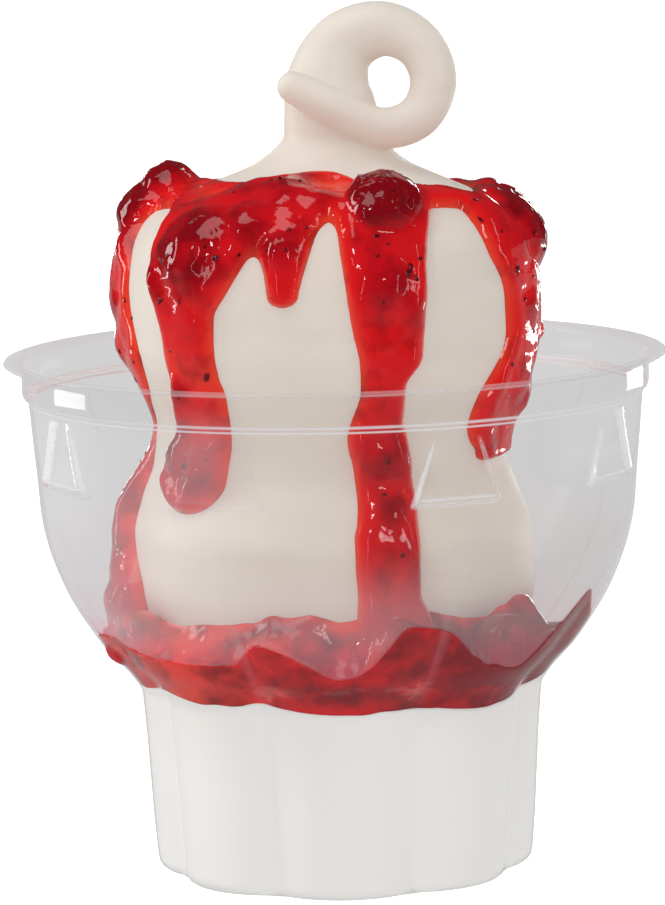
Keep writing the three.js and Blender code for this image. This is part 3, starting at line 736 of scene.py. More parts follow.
# Each drip: how blunt its end is, then from the end upwards its height, the azimuth of its two
# edges and its thickness
DRIPS = [
    [
        1.4,
        (38, -104, -68, 5.2), (44, -101, -69, 4.4), (50, -101, -78, 3.0), (56, -100, -82, 2.4),
        (61, -99, -83, 2.0), (66, -99, -84, 0.8), (70, -98, -79, 0.6), (75, -98, -66.5, 0.6),
        (79.6, -100, -64, 1.0), (83.8, -103, -67, 1.1), (86.5, -104, -70, 1.2), (91.5, -104, -73, 1.4),
        (96.3, -103, -80, 2.0), (101, -104, -86, 1.6),
    ],
    [
        1.4,
        (62.4, -65.2, -35, 2.7), (64.5, -62.8, -33.8, 2.8), (67, -57.5, -32, 2.6), (70, -53.5, -30.8, 2.2),
        (75, -51.5, -29.8, 1.5), (78, -50.5, -31, 1.1), (83, -51, -31.6, 1.2), (86.7, -52.2, -31.4, 1.9),
        (90.4, -54, -27.6, 2.0), (94.3, -57.5, -23.6, 2.1), (98.8, -60, -19, 2.1),
    ],
    [
        1.4,
        (90.2, -15.9, -7.1, 1.9), (93, -17, -5.9, 2.0), (96.6, -19, -3.8, 1.9), (100, -19, -1.5, 1.7),
    ],
    [
        1.4,
        (36, 6, 31, 4.0), (42, 6, 28, 3.6), (46, 6.4, 24.4, 2.9), (50, 6, 24.4, 2.5), (54, 6, 24.8, 2.2),
        (57, 7.2, 25.3, 2.2), (60, 7.6, 25.9, 2.4), (64.5, 7, 26, 2.6), (67.5, 5.7, 25.1, 2.5),
        (69, 5.5, 24.4, 2.4), (70.7, 6.2, 23, 2.1), (76.3, 9.5, 23.2, 1.7), (80.4, 9.2, 28, 1.6),
        (84.7, 7.6, 28.8, 1.7), (89, 6.4, 29.5, 1.8), (93.4, 5.4, 30, 1.9), (96.6, 4.6, 31.5, 1.9),
        (100, 4, 33, 1.8),
    ],
    [
        3.4,
        (65.4, 52.5, 82, 1.9), (67.0, 49.2, 84, 1.8), (68.8, 48, 85, 1.7), (70.6, 48.4, 86.5, 1.7),
        (73.5, 50.5, 90, 1.7), (76.4, 54.7, 93, 1.5), (79.5, 59, 95, 1.3), (82.8, 61.2, 96, 1.2),
        (87.7, 60.5, 97, 1.2), (90.4, 59, 98, 1.3), (95, 54.6, 99, 1.5), (99.3, 53, 100, 1.7),
    ],
    [
        1.4,
        (77, 117, 127, 2.1), (85, 118, 126, 1.9), (93, 114, 131, 1.9), (100, 110, 137, 1.8),
    ],
    [
        1.4,
        (38, 151, 176, 4.0), (46, 153, 173, 2.8), (55, 155, 172, 2.0), (64, 153, 171, 2.2),
        (73, 152, 168, 1.8), (82, 153, 169, 1.8), (92, 148, 171, 1.9), (100, 144, 174, 1.9),
    ],
    [
        1.4,
        (66.5, -139, -118, 2.3), (74, -138, -122, 1.9), (83, -139, -123, 1.8), (92, -141, -119, 1.9),
        (100, -142, -115, 1.9),
    ],
]
# Bits of fruit under the sauce: azimuth, height, half width, rise
LUMPS = [
    (-37, 93.4, 6.2, 1.0), (-52, 91.5, 3.6, 1.0), (-24, 99.6, 4.2, 0.8), (-12, 96.2, 3.2, 0.8),
    (-16, 103.2, 4.6, 1.2), (-3, 102.4, 3.4, 0.8), (66, 98.0, 5.5, 0.6), (70, 95, 4, 0.8),
    (74, 86, 3.6, 0.5), (86, 81.4, 1.6, 0.5), (70, 75.5, 4.2, 0.7), (80, 72, 3.5, 0.5),
    (-57, 102.4, 5.5, -0.8), (-46, 103.6, 4.5, -0.9), (-6, 105.4, 4.5, -0.7), (7, 104.6, 4.5, -0.7),
    (17, 92, 4.5, 0.8), (24, 88, 3.0, 0.6), (-88, 95, 6, 0.9), (-88, 87, 5, 0.9), (-82, 80.5, 4, 0.7),
    (-46, 76, 3.0, 0.7), (-50, 66, 4.2, 0.9), (-44, 61.5, 3.6, 0.7), (16, 66, 3.6, 0.7), (17, 58, 3.2, 0.6),
    (-88, 57, 4.6, 0.5), (-86, 49, 4.4, 0.5), (124, 96, 5, 1.2), (160, 88, 4, 0.9), (163, 60, 3.4, 0.7),
    (-130, 95, 5, 1.2), (-129, 70, 3.6, 0.7), (179, 101, 5, 1.1), (-160, 101, 5, 1.1), (100, 100, 5, 1.2),
    (140, 100, 4.5, 1.0),
]
# Large pieces of fruit, on the sauce or coated by it
TOP_FRUIT = [
    # azimuth, height, half width, half length, rise, depth of the wrinkles
    (-99, 102.2, 6.2, 4.2, 5.3, 1.0),
    (-97, 99.6, 6.4, 5.4, 4.5, 0.9),
    (-40, 96.8, 6.4, 6.2, 3.1, 0.4),
    (20, 101.8, 5.7, 5.6, 5.8, 1.1),
    (86, 97.0, 7.2, 6.6, 4.3, 0.5),
    (125, 97.2, 5.8, 5.2, 4.0, 0.5),
    (158, 98.2, 6.2, 5.4, 4.2, 0.5),
    (-142, 97.8, 6.0, 5.4, 4.2, 0.5),
]
MERGE = 2.6  # how near to each other two edges of the sauce flow together
BEAD = 2.7  # how far in from its edge the sauce has its full thickness
EDGE_SLOPE = 1.9  # how steeply it dives into the ice cream outside its edge
SAUCE_END, SAUCE_UNDERSIDE = -1.1, -1.5


def blended(a, b, reach):
    """The larger of two distances, filled out where they are within a reach of each other."""
    near = np.maximum(reach - np.abs(a - b), 0) / reach
    return np.maximum(a, b) + near * near * reach / 4


def sauce_cover(azimuth, length):
    """How far inside the sauce's edge each place on the tiers is, in millimetres, and how thick
    the sauce is meant to be there. The collar and the drips each give a distance; they are
    blended, and the thickness is their mean, weighted towards the one that lies deeper. A drip's
    distance is measured from its sides, and past its end from a round or squarer cap."""
    radius, height = tier_outline(length)
    per_degree = radius * math.pi / 180
    turns, lower, upper, deep = np.array(COLLAR, float).T
    cover = np.minimum(
        length - length_at(eased(turns, upper, azimuth)), length_at(eased(turns, lower, azimuth)) - length
    )
    total = np.exp(np.clip(cover, -12, 6) / 1.5)
    thick = eased(turns, deep, azimuth) * total
    for blunt, *stations in DRIPS:
        z, left, right, deep = np.array(stations, float).T
        low, high = eased(z, left, height), eased(z, right, height)
        off = np.abs(turn_from((low + high) / 2, azimuth)) * per_degree
        below = blunt * np.maximum(z[0] - height, 0)
        above = np.maximum(height - z[-1], 0)
        inside = (high - low) / 2 * per_degree - np.sqrt(off**2 + below**2 + (3 * above) ** 2)
        power = 2 if blunt < 2 else 3.6
        cap = (off**power + below**power) ** (1 / power)
        inside = np.where(below > 0, (right[0] - left[0]) / 2 * per_degree - cap, inside)
        weight = np.exp(np.clip(inside, -12, 6) / 1.5)
        thick = thick + eased(z, deep, height) * weight
        total = total + weight
        cover = blended(cover, inside, MERGE)
    return cover, thick / total


def fruit_axes(azimuth, height):
    """The place of a piece of fruit on the tiers, and its directions sideways, up and out."""
    length = length_at(np.array([float(height)]))
    spot = np.array([float(azimuth)])
    centre = on_tiers(spot, length, 0.0)[0]
    out = on_tiers(spot, length, 1.0)[0] - centre
    side = around(azimuth + 90, 1.0, 0.0)
    return centre, side, np.cross(out, side), out


def sauce_height(azimuth, length):
    """How high the sauce stands over the tiers. From its edge it rises steeply and rounds over
    into its thickness; outside the edge it dives below the ice cream. Lumps of fruit and slow and
    fine unevenness are added inside. Returns the height and the share of fruit in it."""
    cover, thick = sauce_cover(azimuth, length)
    ground = on_tiers(azimuth, length, 0.0)
    thick = thick * (1 + 0.3 * noise(ground, 6.0, 1) + 0.12 * noise(ground, 2.6, 2))
    rounded = thick * (1 - (1 - np.clip(cover / BEAD, 0, 1)) ** 2.3)
    level = np.where(cover > 0, rounded, EDGE_SLOPE * cover)
    fruit = np.zeros(level.shape)
    for middle, height, half, rise in LUMPS:
        centre = fruit_axes(middle, height)[0]
        near = np.clip(1 - ((ground - centre) ** 2).sum(axis=-1) / half**2, 0, 1) ** 1.6
        level = level + rise * near * ramp(cover, 0, 2.5)
        fruit = np.maximum(fruit, near * np.clip(0.3 + 0.3 * rise, 0, 1) * (rise > 0))
    wrinkles = 0.12 + 0.2 * fruit
    for seed, (middle, height, wide, tall, rise, deep) in enumerate(TOP_FRUIT):
        centre, side, up, _ = fruit_axes(middle, height)
        across, along = (ground - centre) @ side / wide, (ground - centre) @ up / tall
        wobble = 1 + 0.16 * noise(ground, 5.0, 30 + seed) + 0.1 * noise(ground, 2.3, 40 + seed)
        inner = np.clip(1 - (across**2 + along**2) * wobble, 0, 1)
        far = ((ground - centre) ** 2).sum(axis=-1) > 120
        bump = np.where(far | (inner <= 0), -3.0, rise * inner**0.42)
        level = blended(level, bump, 1.6)
        share = np.where(far, 0, np.minimum(1, 2.2 * inner))
        fruit = np.maximum(fruit, share * (0.55 + deep))
        wrinkles = np.maximum(wrinkles, share * deep)
    creased = 1 - np.abs(noise(ground, 2.4, 3)) - 0.45 * np.abs(noise(ground, 1.2, 4))
    level = level + wrinkles * (creased - 0.5) * ramp(cover, 0.4, 2.5)
    return np.maximum(level, SAUCE_END - 0.05), fruit


def skin_piece(name, top, bottom, keep):
    """A closed skin over the kept cells of a grid that closes round its columns: the top points,
    the bottom points, and a wall along every side between a kept cell and one left out. Returns
    the piece, and which of the points it uses."""
    rows, columns = top.shape[:2]
    index = np.arange(rows * columns).reshape(rows, columns)
    beside = np.roll(index, -1, axis=1)
    cell = np.stack([index[:-1], index[1:], beside[1:], beside[:-1]], axis=-1)
    under = rows * columns
    faces = [cell[keep], cell[keep][:, ::-1] + under]
    outside = (
        ~np.roll(keep, 1, axis=1),
        np.concatenate([~keep[1:], np.ones((1, columns), bool)]),
        ~np.roll(keep, -1, axis=1),
        np.concatenate([np.ones((1, columns), bool), ~keep[:-1]]),
    )
    for side, open_side in enumerate(outside):
        pair = cell[keep & open_side][:, [side, (side + 1) % 4]]
        faces.append(np.concatenate([pair[:, ::-1], pair + under], axis=1))
    faces = np.concatenate(faces)
    used, renumbered = np.unique(faces, return_inverse=True)
    points = np.concatenate([top.reshape(-1, 3), bottom.reshape(-1, 3)])[used]
    return mesh_piece(name, points, renumbered.reshape(faces.shape)), used


sauce_azimuth, sauce_lengths = np.meshgrid(
    np.arange(SAUCE_COLUMNS) * 360 / SAUCE_COLUMNS - 180,
    np.arange(length_at(SAUCE_TOP), length_at(SAUCE_BOTTOM), SAUCE_STEP),
)
level, fruit_share = sauce_height(sauce_azimuth, sauce_lengths)
beside = np.roll(level, -1, axis=1)
kept = (np.stack([level[:-1], level[1:], beside[:-1], beside[1:]]) > SAUCE_END).any(axis=0)
sauce, used = skin_piece(
    "strawberry_sauce",
    on_tiers(sauce_azimuth, sauce_lengths, level),
    on_tiers(sauce_azimuth, sauce_lengths, SAUCE_UNDERSIDE),
    kept,
)
depth = np.concatenate([np.clip(level, 0, 4).ravel(), np.zeros(level.size)])[used]
attribute(sauce, "depth", depth / 4)
attribute(sauce, "fruit", np.tile(fruit_share.ravel(), 2)[used])

# Strawberry sauce, sugar syrup with crushed fruit: wet, clear and red. It is orange where it is
# thin, deep red where it is thick or lies over fruit, and clouded by bits of flesh.
syrup, tree, place = material("strawberry_syrup")
depth_at, fruit_at = (
    add(tree, "ShaderNodeAttribute", {"attribute_name": name}).outputs["Fac"] for name in ("depth", "fruit")
)
thin = add(
    tree,
    "ShaderNodeValToRGB",
    {"stops": [(0.05, "#EC4632"), (0.3, "#E21D20"), (0.65, "#C4101C")]},
    Fac=depth_at,
)
clouds = add(tree, "ShaderNodeTexNoise", Vector=place, Scale=per(5.26), Detail=3.0, Roughness=0.55)
flesh = add(tree, "ShaderNodeMath", TIMES_PLUS, i0=clouds, i1=2.9, i2=-1.42)
mass = add(tree, "ShaderNodeMath", {**TIMES_PLUS, "use_clamp": True}, i0=fruit_at, i1=0.75, i2=flesh)
dark = add(tree, "ShaderNodeMix", {"data_type": "RGBA"}, i0=mass, i6=thin, i7=linear("#840914"))
ripple = add(tree, "ShaderNodeTexNoise", Vector=place, Scale=per(2.326), Detail=2.0)
skin = add(tree, "ShaderNodeBump", Strength=0.22, Distance=0.6 * MM, Height=ripple)
wet = add(
    tree,
    "ShaderNodeBsdfPrincipled",
    Base_Color=dark.outputs[2],
    Roughness=0.06,
    IOR=1.42,
    Subsurface_Weight=0.3,
    Subsurface_Radius=(1.0, 0.1, 0.06),
    Subsurface_Scale=1.5 * MM,
    Normal=skin,
)
add(tree, "ShaderNodeOutputMaterial", Surface=wet)
sauce.data.materials.append(syrup)
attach(sauce, "root")
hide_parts("sauce_topping")

# ---- Seeds and specks ----
# Strawberry seeds and dark scraps of flesh carried in the sauce, about a millimetre long. They
# lie just under its surface and show as dark dots.

SPECKS = [
    # azimuth, height, size
    (-47.1, 89.2, 1.3), (-39.8, 89.3, 1.0), (-5.5, 99.0, 0.8), (-24, 95.7, 0.8), (-52.4, 95.1, 0.9),
    (-34.3, 78.4, 1.4), (-10.1, 98.4, 0.9), (-10.4, 95.9, 0.8), (-69.1, 85.4, 0.8), (15.2, 97.5, 1.1),
    (22.2, 92.6, 1.5), (24.8, 92.0, 1.2), (26.8, 94.6, 1.0), (15.1, 89.3, 0.7), (57.7, 100.8, 1.1),
    (55, 98.8, 1.0), (60, 96.7, 0.8), (65, 91.5, 1.6), (62, 78.0, 1.1), (-20.3, 103.8, 1.4),
    (-27.2, 104.3, 1.0), (-12.6, 103.8, 0.9), (-35, 102.4, 0.8), (-72.5, 88, 0.9), (-44.4, 95, 0.9),
    (14.6, 95, 0.8), (23.6, 93.6, 1.2), (68, 87, 1.0), (74, 90, 0.9), (-45, 65, 1.2), (16, 66, 1.1),
    (15, 60, 0.9), (18, 52, 1.0), (-90, 57, 1.1), (-88, 48, 1.0),
]
SPECK_COUNT = 95
SPECK_HALVES = np.array([0.5, 0.34, 0.17])  # of a speck of size 1


def unit_ball(rings, columns):
    """Rings of points on a ball of radius 1, from pole to pole without the poles."""
    up = (np.arange(1, rings) / rings * math.pi)[:, None]
    turn = (np.arange(columns) / columns * 2 * math.pi)[None, :]
    return np.stack([np.sin(up) * np.cos(turn), np.sin(up) * np.sin(turn), np.cos(up) + 0 * turn], axis=-1)


def speck_lumps():
    """Small flattened balls at the listed places, and at random ones, most of them at the back,
    where the sauce is thick. Each is turned at random and sunk so that only part of it shows."""
    chance = np.random.default_rng(7)
    spots = [(float(azimuth), float(length_at(height)), size) for azimuth, height, size in SPECKS]
    while len(spots) < SPECK_COUNT:
        azimuth, height = chance.uniform(-180, 180), chance.uniform(55, 104)
        length = float(length_at(height))
        cover = sauce_cover(np.array([[azimuth]]), np.array([[length]]))[0][0, 0]
        if cover > 1.6 and (abs(azimuth) > 70 or chance.uniform() < 0.25):
            spots.append((azimuth, length, chance.uniform(0.5, 1.2)))
    ball = unit_ball(8, 12)
    made = []
    for azimuth, length, size in spots:
        place = np.array([[azimuth]]), np.array([[length]])
        level = sauce_height(*place)[0]
        centre = on_tiers(*place, level - 0.06 * size)[0, 0]
        out = centre - on_tiers(*place, level - 1.0)[0, 0]
        out /= np.linalg.norm(out)
        side = np.cross(out, chance.normal(size=3))
        side /= np.linalg.norm(side)
        axes = np.array([side, np.cross(out, side), out])
        lumpy = ball * (1 + 0.35 * noise(ball * 3 + azimuth, 1.7, 9))[..., None]
        made.append(centre + lumpy * SPECK_HALVES * size @ axes)
    return made


specks = joined("seeds_and_specks", speck_lumps())

# Seed coats and browned flesh: dark red-brown, wet like the sauce round them, and mottled.
dark_flesh, tree, place = material("dark_strawberry_seeds")
mottle = add(tree, "ShaderNodeTexNoise", Vector=place, Scale=per(1.11), Detail=2.0)
tone = add(tree, "ShaderNodeValToRGB", {"stops": [(0.3, "#45060E"), (0.75, "#7A0C16")]}, Fac=mottle)
coat = add(tree, "ShaderNodeBsdfPrincipled", Base_Color=tone, Roughness=0.12, IOR=1.42)
add(tree, "ShaderNodeOutputMaterial", Surface=coat)
specks.data.materials.append(dark_flesh)
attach(specks, "root")

# ---- Sauce pool ----
# The sauce that has run to the bottom of the bowl. It wets the wall up to an uneven line and
# climbs from there to the ice cream, with lumps of fruit in it.

# Azimuth and height of its edge on the wall, and of its edge on the ice cream
POOL_ON_WALL = [
    (-180, 38), (-160, 36), (-135, 38), (-112, 35.8), (-90, 36), (-73, 37.7), (-58, 37.1), (-46, 36.3),
    (-26, 36.8), (-23, 38.2), (-18.5, 40), (-9.4, 37.5), (-1, 34.6), (6.4, 36.5), (10.4, 39.8),
    (14, 42.8), (22, 42), (33, 36.4), (37, 35.1), (49, 33.8), (53, 36.4), (56, 39.4), (60, 42.2),
    (65.2, 44.4), (70.5, 42), (76, 39.8), (82, 38.4), (90, 37.6), (98, 36.6), (104, 35.0), (112, 34.1),
    (121, 34.2), (132, 37), (146, 38), (162, 36), (180, 38),
]
POOL_ON_ICE = [
    (-180, 42), (-160, 43), (-135, 41.5), (-112, 43), (-90, 45), (-77, 45), (-70, 44.6), (-62.5, 43.8),
    (-54, 43.4), (-41, 43.7), (-29, 44.1), (-10, 43.9), (0, 43.7), (10, 44.0), (22, 43.6), (31, 42.8),
    (42, 42.1), (48, 42.1), (52, 43.0), (58, 43.0), (64.5, 41.8), (74, 39.6), (84, 38.0), (96, 36.8),
    (112, 36.6), (125, 37.6), (150, 42), (180, 42),
]
POOL_COLUMNS = 400
POOL_INNER = 21.0  # how far in towards the axis it reaches, inside the ice cream
# Pieces of fruit that stand in the pool
POOL_FRUIT = [
    # azimuth, radius, height, half width, half depth, half height
    (46, 33.6, 36.8, 5.4, 2.6, 4.6),
    (136, 34.2, 37.6, 5, 2.6, 4),
    (171, 34.2, 37.8, 5.2, 2.6, 4.2),
    (-143, 34.4, 37.6, 5.4, 2.6, 4),
    (-62, 34.4, 38, 5, 2.4, 4),
]


def inside_wall(azimuth, points, gap):
    """The points, those that lie nearer to the cup's sheet than a gap moved back to it."""
    wall = wall_point(azimuth, points[..., 2], gap)
    limit = np.hypot(wall[..., 0], wall[..., 1])
    share = np.minimum(1, limit / np.maximum(np.hypot(points[..., 0], points[..., 1]), 1e-6))
    return points * np.stack([share, share, np.ones(share.shape)], axis=-1)


def pool_rings():
    """Rings of the pool from its underside, up the wall and back over its top: the top falls
    from the ice cream and flattens towards the wall, deepest between the right drip and the
    wall, with lumps of a millimetre and a dome over each piece of fruit."""
    azimuth = (np.arange(POOL_COLUMNS) * 360 / POOL_COLUMNS - 180)[None, :]
    on_wall = eased(*zip(*POOL_ON_WALL), azimuth)
    on_wall = on_wall + 0.3 * noise(around(azimuth, 38, 0), 2.7, 8)
    on_ice = eased(*zip(*POOL_ON_ICE), azimuth)
    low = foot_edge(azimuth) - 0.3
    inner = around(azimuth, POOL_INNER, 28.0)
    wall = wall_point(azimuth, low + (on_wall - low) * np.linspace(0, 1, 26)[:, None], 0.03)
    span = np.linspace(0, 1, 40)[1:, None]
    reach = np.hypot(wall[-1, :, 0], wall[-1, :, 1])
    radius = reach + (tier_outline(length_at(on_ice))[0] - 1.5 - reach) * span
    sag = 1.2 + 4.0 * np.exp(-(((azimuth - 68) / 12) ** 2))
    fall = sag * np.sin(math.pi * np.minimum(1, span * 1.25))
    top = around(azimuth, radius, on_wall + (on_ice - on_wall) * span**1.6 - fall)
    lumps = 0.8 * noise(top, 4.2, 11) + 0.25 * noise(top, 2.0, 12)
    top[..., 2] += lumps * band(span, 0.0, 0.3, 0.85, 1.15)
    for middle, out, level, wide, deep, tall in POOL_FRUIT:
        across = np.radians(turn_from(middle, azimuth)) * out
        near = np.clip(1 - (across / wide) ** 2 - ((radius - out) / (deep + 2.0)) ** 2, 0, 1)
        dome = level + (tall + 0.5) * near**0.45
        top[..., 2] = np.where(near > 0, blended(top[..., 2], dome, 1.4), top[..., 2])
    top = inside_wall(azimuth, top, 0.35 * ramp(span, 0, 0.1) + 0.03)
    return np.concatenate([inner, wall, top, around(azimuth, POOL_INNER, on_ice - 1)])


def pool_depth_and_fruit(points):
    """How deep the syrup looks and how much fruit is in it, for each point of the pool. Clouds of
    two sizes are fuller on the right and round the pieces of fruit, and both numbers fall to
    nothing where only a film climbs the ice cream."""
    turned = np.degrees(np.arctan2(points[:, 0], -points[:, 1]))
    radius = np.hypot(points[:, 0], points[:, 1])
    film = (1 - ramp(radius, 29.0, 31.5)) * ramp(points[:, 2], 39.5, 41.5)
    cloud = np.clip(0.5 + 0.6 * noise(points, 7.0, 21) + 0.4 * noise(points, 3.0, 22), 0, 1)
    for azimuth, out, height, wide, _, tall in POOL_FRUIT:
        off = (points - around(azimuth, out + 1, height + 0.5)) / (wide, wide, tall + 1.5)
        cloud = np.maximum(cloud, 1.2 * (1 - ramp(np.linalg.norm(off, axis=1), 0.85, 1.25)))
    cloud = cloud * (0.6 + 0.4 * band(turned, -30, -10, 120, 178)) + 0.45 * band(turned, -25, 40, 80, 120)
    depth = (0.14 + 0.35 * band(turned, -45, 10, 120, 178)) * (1 - 0.75 * film)
    return depth, (0.9 * cloud + 0.6 * band(turned, -5, 35, 90, 130)) * (1 - film)


pool_points, *pool_faces = ring_faces(pool_rings())
pool = mesh_piece("sauce_pool_syrup", pool_points, *pool_faces)
depth, fruit_share = pool_depth_and_fruit(pool_points)
attribute(pool, "depth", depth)
attribute(pool, "fruit", fruit_share)
pool.data.materials.append(syrup)
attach(pool, "root")
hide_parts("sauce_pool")

# ---- Fruit ----
# Pieces of strawberry, cooked soft in the sauce: dark, wrinkled and wet. Eight lie on the
# shoulder, the two on the left stuck together, and five stand in the pool against the wall.


def lump_rings(centre, axes, halves, seed):
    """A piece of fruit: a ball stretched to its half sizes, with broad dents and a net of fine
    wrinkles, which are the creases between two slow random values."""
    unit = unit_ball(40, 56)
    size = 1 + 0.1 * noise(unit * 3 + seed, 1.6, seed)
    size = size + 0.1 * (0.5 - np.abs(noise(unit * 3, 0.75, seed + 50)))
    size = size + 0.05 * (0.5 - np.abs(noise(unit * 3, 0.4, seed + 70)))
    return centre + unit * size[..., None] * np.array(halves, float) @ np.array(axes)


def fruit_piece(name, lumps, nodes):
    """Joins lumps into one piece that stands for the given nodes."""
    piece = joined(name, lumps)
    piece.data.materials.append(cooked)
    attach(piece, "root")
    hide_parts(*nodes)


# Strawberry flesh cooked in syrup: dark red with lighter veins, crinkled, under a wet film.
cooked, tree, place = material("cooked_strawberry")
veins = add(tree, "ShaderNodeTexNoise", Vector=place, Scale=per(3.03), Detail=4.0, Roughness=0.6)
tone = add(tree, "ShaderNodeValToRGB", {"stops": [(0.3, "#6A0810"), (0.75, "#A5101A")]}, Fac=veins)
crinkle = add(tree, "ShaderNodeTexVoronoi", Vector=place, Scale=per(1.613))
fold = add(tree, "ShaderNodeBump", Strength=0.45, Distance=0.6 * MM, Height=crinkle)
wet = add(
    tree,
    "ShaderNodeBsdfPrincipled",
    Base_Color=tone,
    Roughness=0.14,
    IOR=1.42,
    Subsurface_Weight=0.3,
    Subsurface_Radius=(1.0, 0.15, 0.1),
    Subsurface_Scale=1.5 * MM,
    Normal=fold,
)
add(tree, "ShaderNodeOutputMaterial", Surface=wet)

top_lumps = []
for seed, (azimuth, height, wide, tall, rise, _) in enumerate(TOP_FRUIT):
    centre, side, up, out = fruit_axes(azimuth, height)
    halves = (0.82 * wide, 0.82 * tall, 0.55 * rise)
    top_lumps.append(lump_rings(centre + out * 0.36 * rise, [side, up, out], halves, seed))
fruit_piece("fruit_on_shoulder", top_lumps, [f"fruit_top_{i + 1}" for i in range(7)])
pool_lumps = []
for seed, (azimuth, radius, height, wide, deep, tall) in enumerate(POOL_FRUIT):
    side, out = around(azimuth + 90, 1.0, 0.0), around(azimuth, 1.0, 0.0)
    axes = [side, np.cross(out, side), out]
    lump = lump_rings(around(azimuth, radius, height), axes, (0.9 * wide, 0.9 * tall, 0.95 * deep), seed + 20)
    turned = np.degrees(np.arctan2(lump[..., 0], -lump[..., 1]))
    pool_lumps.append(inside_wall(turned, lump, 0.7))
fruit_piece("fruit_in_pool", pool_lumps, [f"fruit_pool_{i + 1}" for i in range(5)])

# ---- Studio ----
# A pale table and a white room. Softboxes stand on the left, behind on the right, above and in
# front, and narrow bright cards beside and behind the table draw the wet sauce and the cup.

TABLE_HALF = 6000
TABLE_SEEN_THROUGH = "#D6D5D5"
WHITE = linear("#FFFFFF")

table = mesh_piece(
    "floor",
    np.array([[-1, -1, 0], [1, -1, 0], [1, 1, 0], [-1, 1, 0]]) * float(TABLE_HALF),
    np.array([[0, 1, 2, 3]]),
)


def light_path(tree):
    """The Light Path's outputs, and a number that is 1 for what the camera sees directly and 0
    for what it sees through the cup or in a mirror."""
    path = add(tree, "ShaderNodeLightPath").outputs
    settings = {**MINUS, "use_clamp": True}
    return path, add(tree, "ShaderNodeMath", settings, i0=path["Is Camera Ray"], i1=path["Transparent Depth"])


# Matt white paper, lit from behind as well. The cup shows it as light grey, gloss shows it
# darker towards the front, and it throws soft light up from all round.
paper, tree, place = material("pale_table")
path, directly = light_path(tree)
matt = add(tree, "ShaderNodeBsdfDiffuse", Color=WHITE)
glow = add(tree, "ShaderNodeEmission", Color=WHITE, Strength=0.62)
direct = add(tree, "ShaderNodeAddShader", i0=matt, i1=glow)
dim = add(tree, "ShaderNodeEmission", Color=linear(TABLE_SEEN_THROUGH), Strength=1.0)
far = add(
    tree,
    "ShaderNodeMapRange",
    Value=add(tree, "ShaderNodeSeparateXYZ", Vector=place).outputs["Y"],
    From_Min=-0.45,
    From_Max=0.15,
    To_Min=0.05,
    To_Max=0.42,
)
mirrored = add(tree, "ShaderNodeEmission", Color=WHITE, Strength=far)
bounce = add(tree, "ShaderNodeEmission", Color=WHITE, Strength=0.8)
indirect = add(tree, "ShaderNodeMixShader", i0=path["Is Glossy Ray"], i1=dim, i2=mirrored)
indirect = add(tree, "ShaderNodeMixShader", i0=path["Is Diffuse Ray"], i1=indirect, i2=bounce)
shown = add(tree, "ShaderNodeMixShader", i0=directly, i1=indirect, i2=direct)
add(tree, "ShaderNodeOutputMaterial", Surface=shown)
table.data.materials.append(paper)

# The room is white behind the table, gives even soft light, and looks dark in gloss, a little
# less so at the back
world = bpy.data.worlds.new("soft_room")
bpy.context.scene.world = world
world.use_nodes = True
tree = world.node_tree
tree.nodes.clear()
path, directly = light_path(tree)
towards = add(tree, "ShaderNodeTexCoord").outputs["Generated"]
in_mirrors = add(
    tree,
    "ShaderNodeMapRange",
    Value=add(tree, "ShaderNodeSeparateXYZ", Vector=towards).outputs["Y"],
    From_Min=-0.3,
    From_Max=0.9,
    To_Min=0.03,
    To_Max=0.055,
)
fill = add(tree, "ShaderNodeMix", {"data_type": "FLOAT"}, i0=path["Is Diffuse Ray"], i2=in_mirrors, i3=0.57)
room = add(tree, "ShaderNodeBackground", Color=WHITE, Strength=fill)
white = add(tree, "ShaderNodeBackground", Color=WHITE, Strength=1.0)
either = add(tree, "ShaderNodeMixShader", i0=directly, i1=room, i2=white)
add(tree, "ShaderNodeOutputWorld", Surface=either)

LAMPS_AIM = np.array([0, 0, 0.075])  # metres


def softbox(name, azimuth, distance, height, width, tall, watts, lights=True, mirrored=True):
    """A rectangular lamp that stands round the sundae and faces its middle, its places and sizes
    in metres. One that lights nothing shows in gloss alone, like a bright card beside the table,
    and one that isn't mirrored is like a lamp behind a wide screen."""
    lamp = bpy.data.lights.new(name, "AREA")
    lamp.shape = "RECTANGLE"
    lamp.size, lamp.size_y, lamp.energy = width, tall, watts
    stand = bpy.data.objects.new(name, lamp)
    stand.location = around(azimuth, distance, height).tolist()
    x, y, z = LAMPS_AIM - np.array(stand.location)
    stand.rotation_euler = (math.atan2(math.hypot(x, y), -z), 0, math.atan2(x, -y) + math.pi)
    stand.visible_camera = False
    stand.visible_diffuse = lights
    stand.visible_glossy = mirrored
    bpy.context.scene.collection.objects.link(stand)


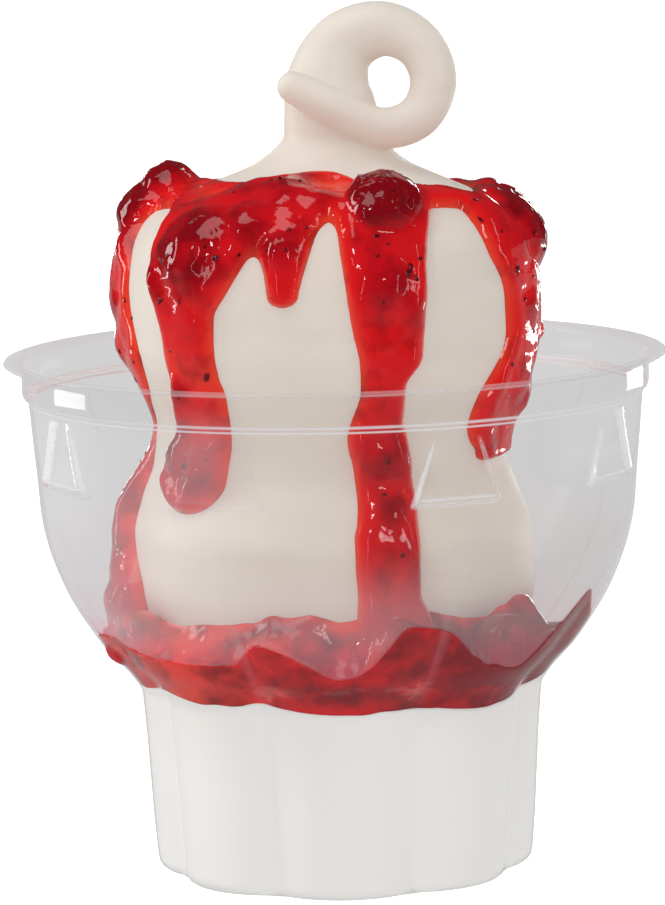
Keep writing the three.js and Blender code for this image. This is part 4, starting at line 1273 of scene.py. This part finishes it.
softbox("left_softbox", -104, 0.8, 0.36, 0.17, 0.5, 1.9)
softbox("right_softbox", 139, 0.8, 0.32, 0.25, 0.5, 1.7, mirrored=False)
softbox("right_edge_card", 163, 0.8, 0.17, 0.08, 0.34, 0.55, lights=False)
softbox("left_edge_card", -167, 0.8, 0.13, 0.06, 0.26, 0.33, lights=False)
softbox("front_softbox", -38, 0.85, 0.62, 0.09, 0.13, 0.95)
softbox("top_softbox", -60, 0.3, 0.8, 0.4, 0.4, 1.3)
softbox("lower_front_softbox", 26, 0.85, 0.42, 0.16, 0.2, 0.9)
softbox("left_strip", -44, 0.85, 0.15, 0.05, 0.5, 0.35)
softbox("right_strip", 72, 0.85, 0.25, 0.05, 0.6, 0.4)
softbox("left_card", -109, 0.45, 0.014, 0.16, 0.024, 0.1, lights=False)
softbox("right_card", 138, 0.45, 0.014, 0.16, 0.024, 0.1, lights=False)

# A long lens in front and a little above, looking slightly down, in metres and degrees. The
# focal length and the shift are in pixels of a picture this high.
PICTURE_HEIGHT = 905
FOCAL_LENGTH, SHIFT = 4903.877, -4.4
CAMERA_PLACE = (0, -0.734748, 0.166103)
CAMERA_DOWN, CAMERA_ROLL = 7.98, -1.26

camera_data = bpy.data.cameras.new("camera")
camera = bpy.data.objects.new("camera", camera_data)
bpy.context.scene.collection.objects.link(camera)
bpy.context.scene.camera = camera
camera_data.sensor_fit = "AUTO"
camera_data.sensor_width = 36
camera_data.lens = FOCAL_LENGTH * camera_data.sensor_width / PICTURE_HEIGHT
camera_data.shift_x = SHIFT / PICTURE_HEIGHT
tilt = Matrix.Rotation(math.radians(90 - CAMERA_DOWN), 4, "X")
roll = Matrix.Rotation(math.radians(CAMERA_ROLL), 4, "Z")
camera.matrix_world = Matrix.Translation(CAMERA_PLACE) @ tilt @ roll

scene = bpy.context.scene
scene.view_settings.view_transform = "Standard"
scene.cycles.max_bounces = 16
scene.cycles.transmission_bounces = 14
scene.cycles.transparent_max_bounces = 24
scene.cycles.diffuse_bounces = 4
scene.cycles.glossy_bounces = 4
scene.cycles.caustics_refractive = False
scene.cycles.caustics_reflective = False
scene.cycles.use_denoising = True
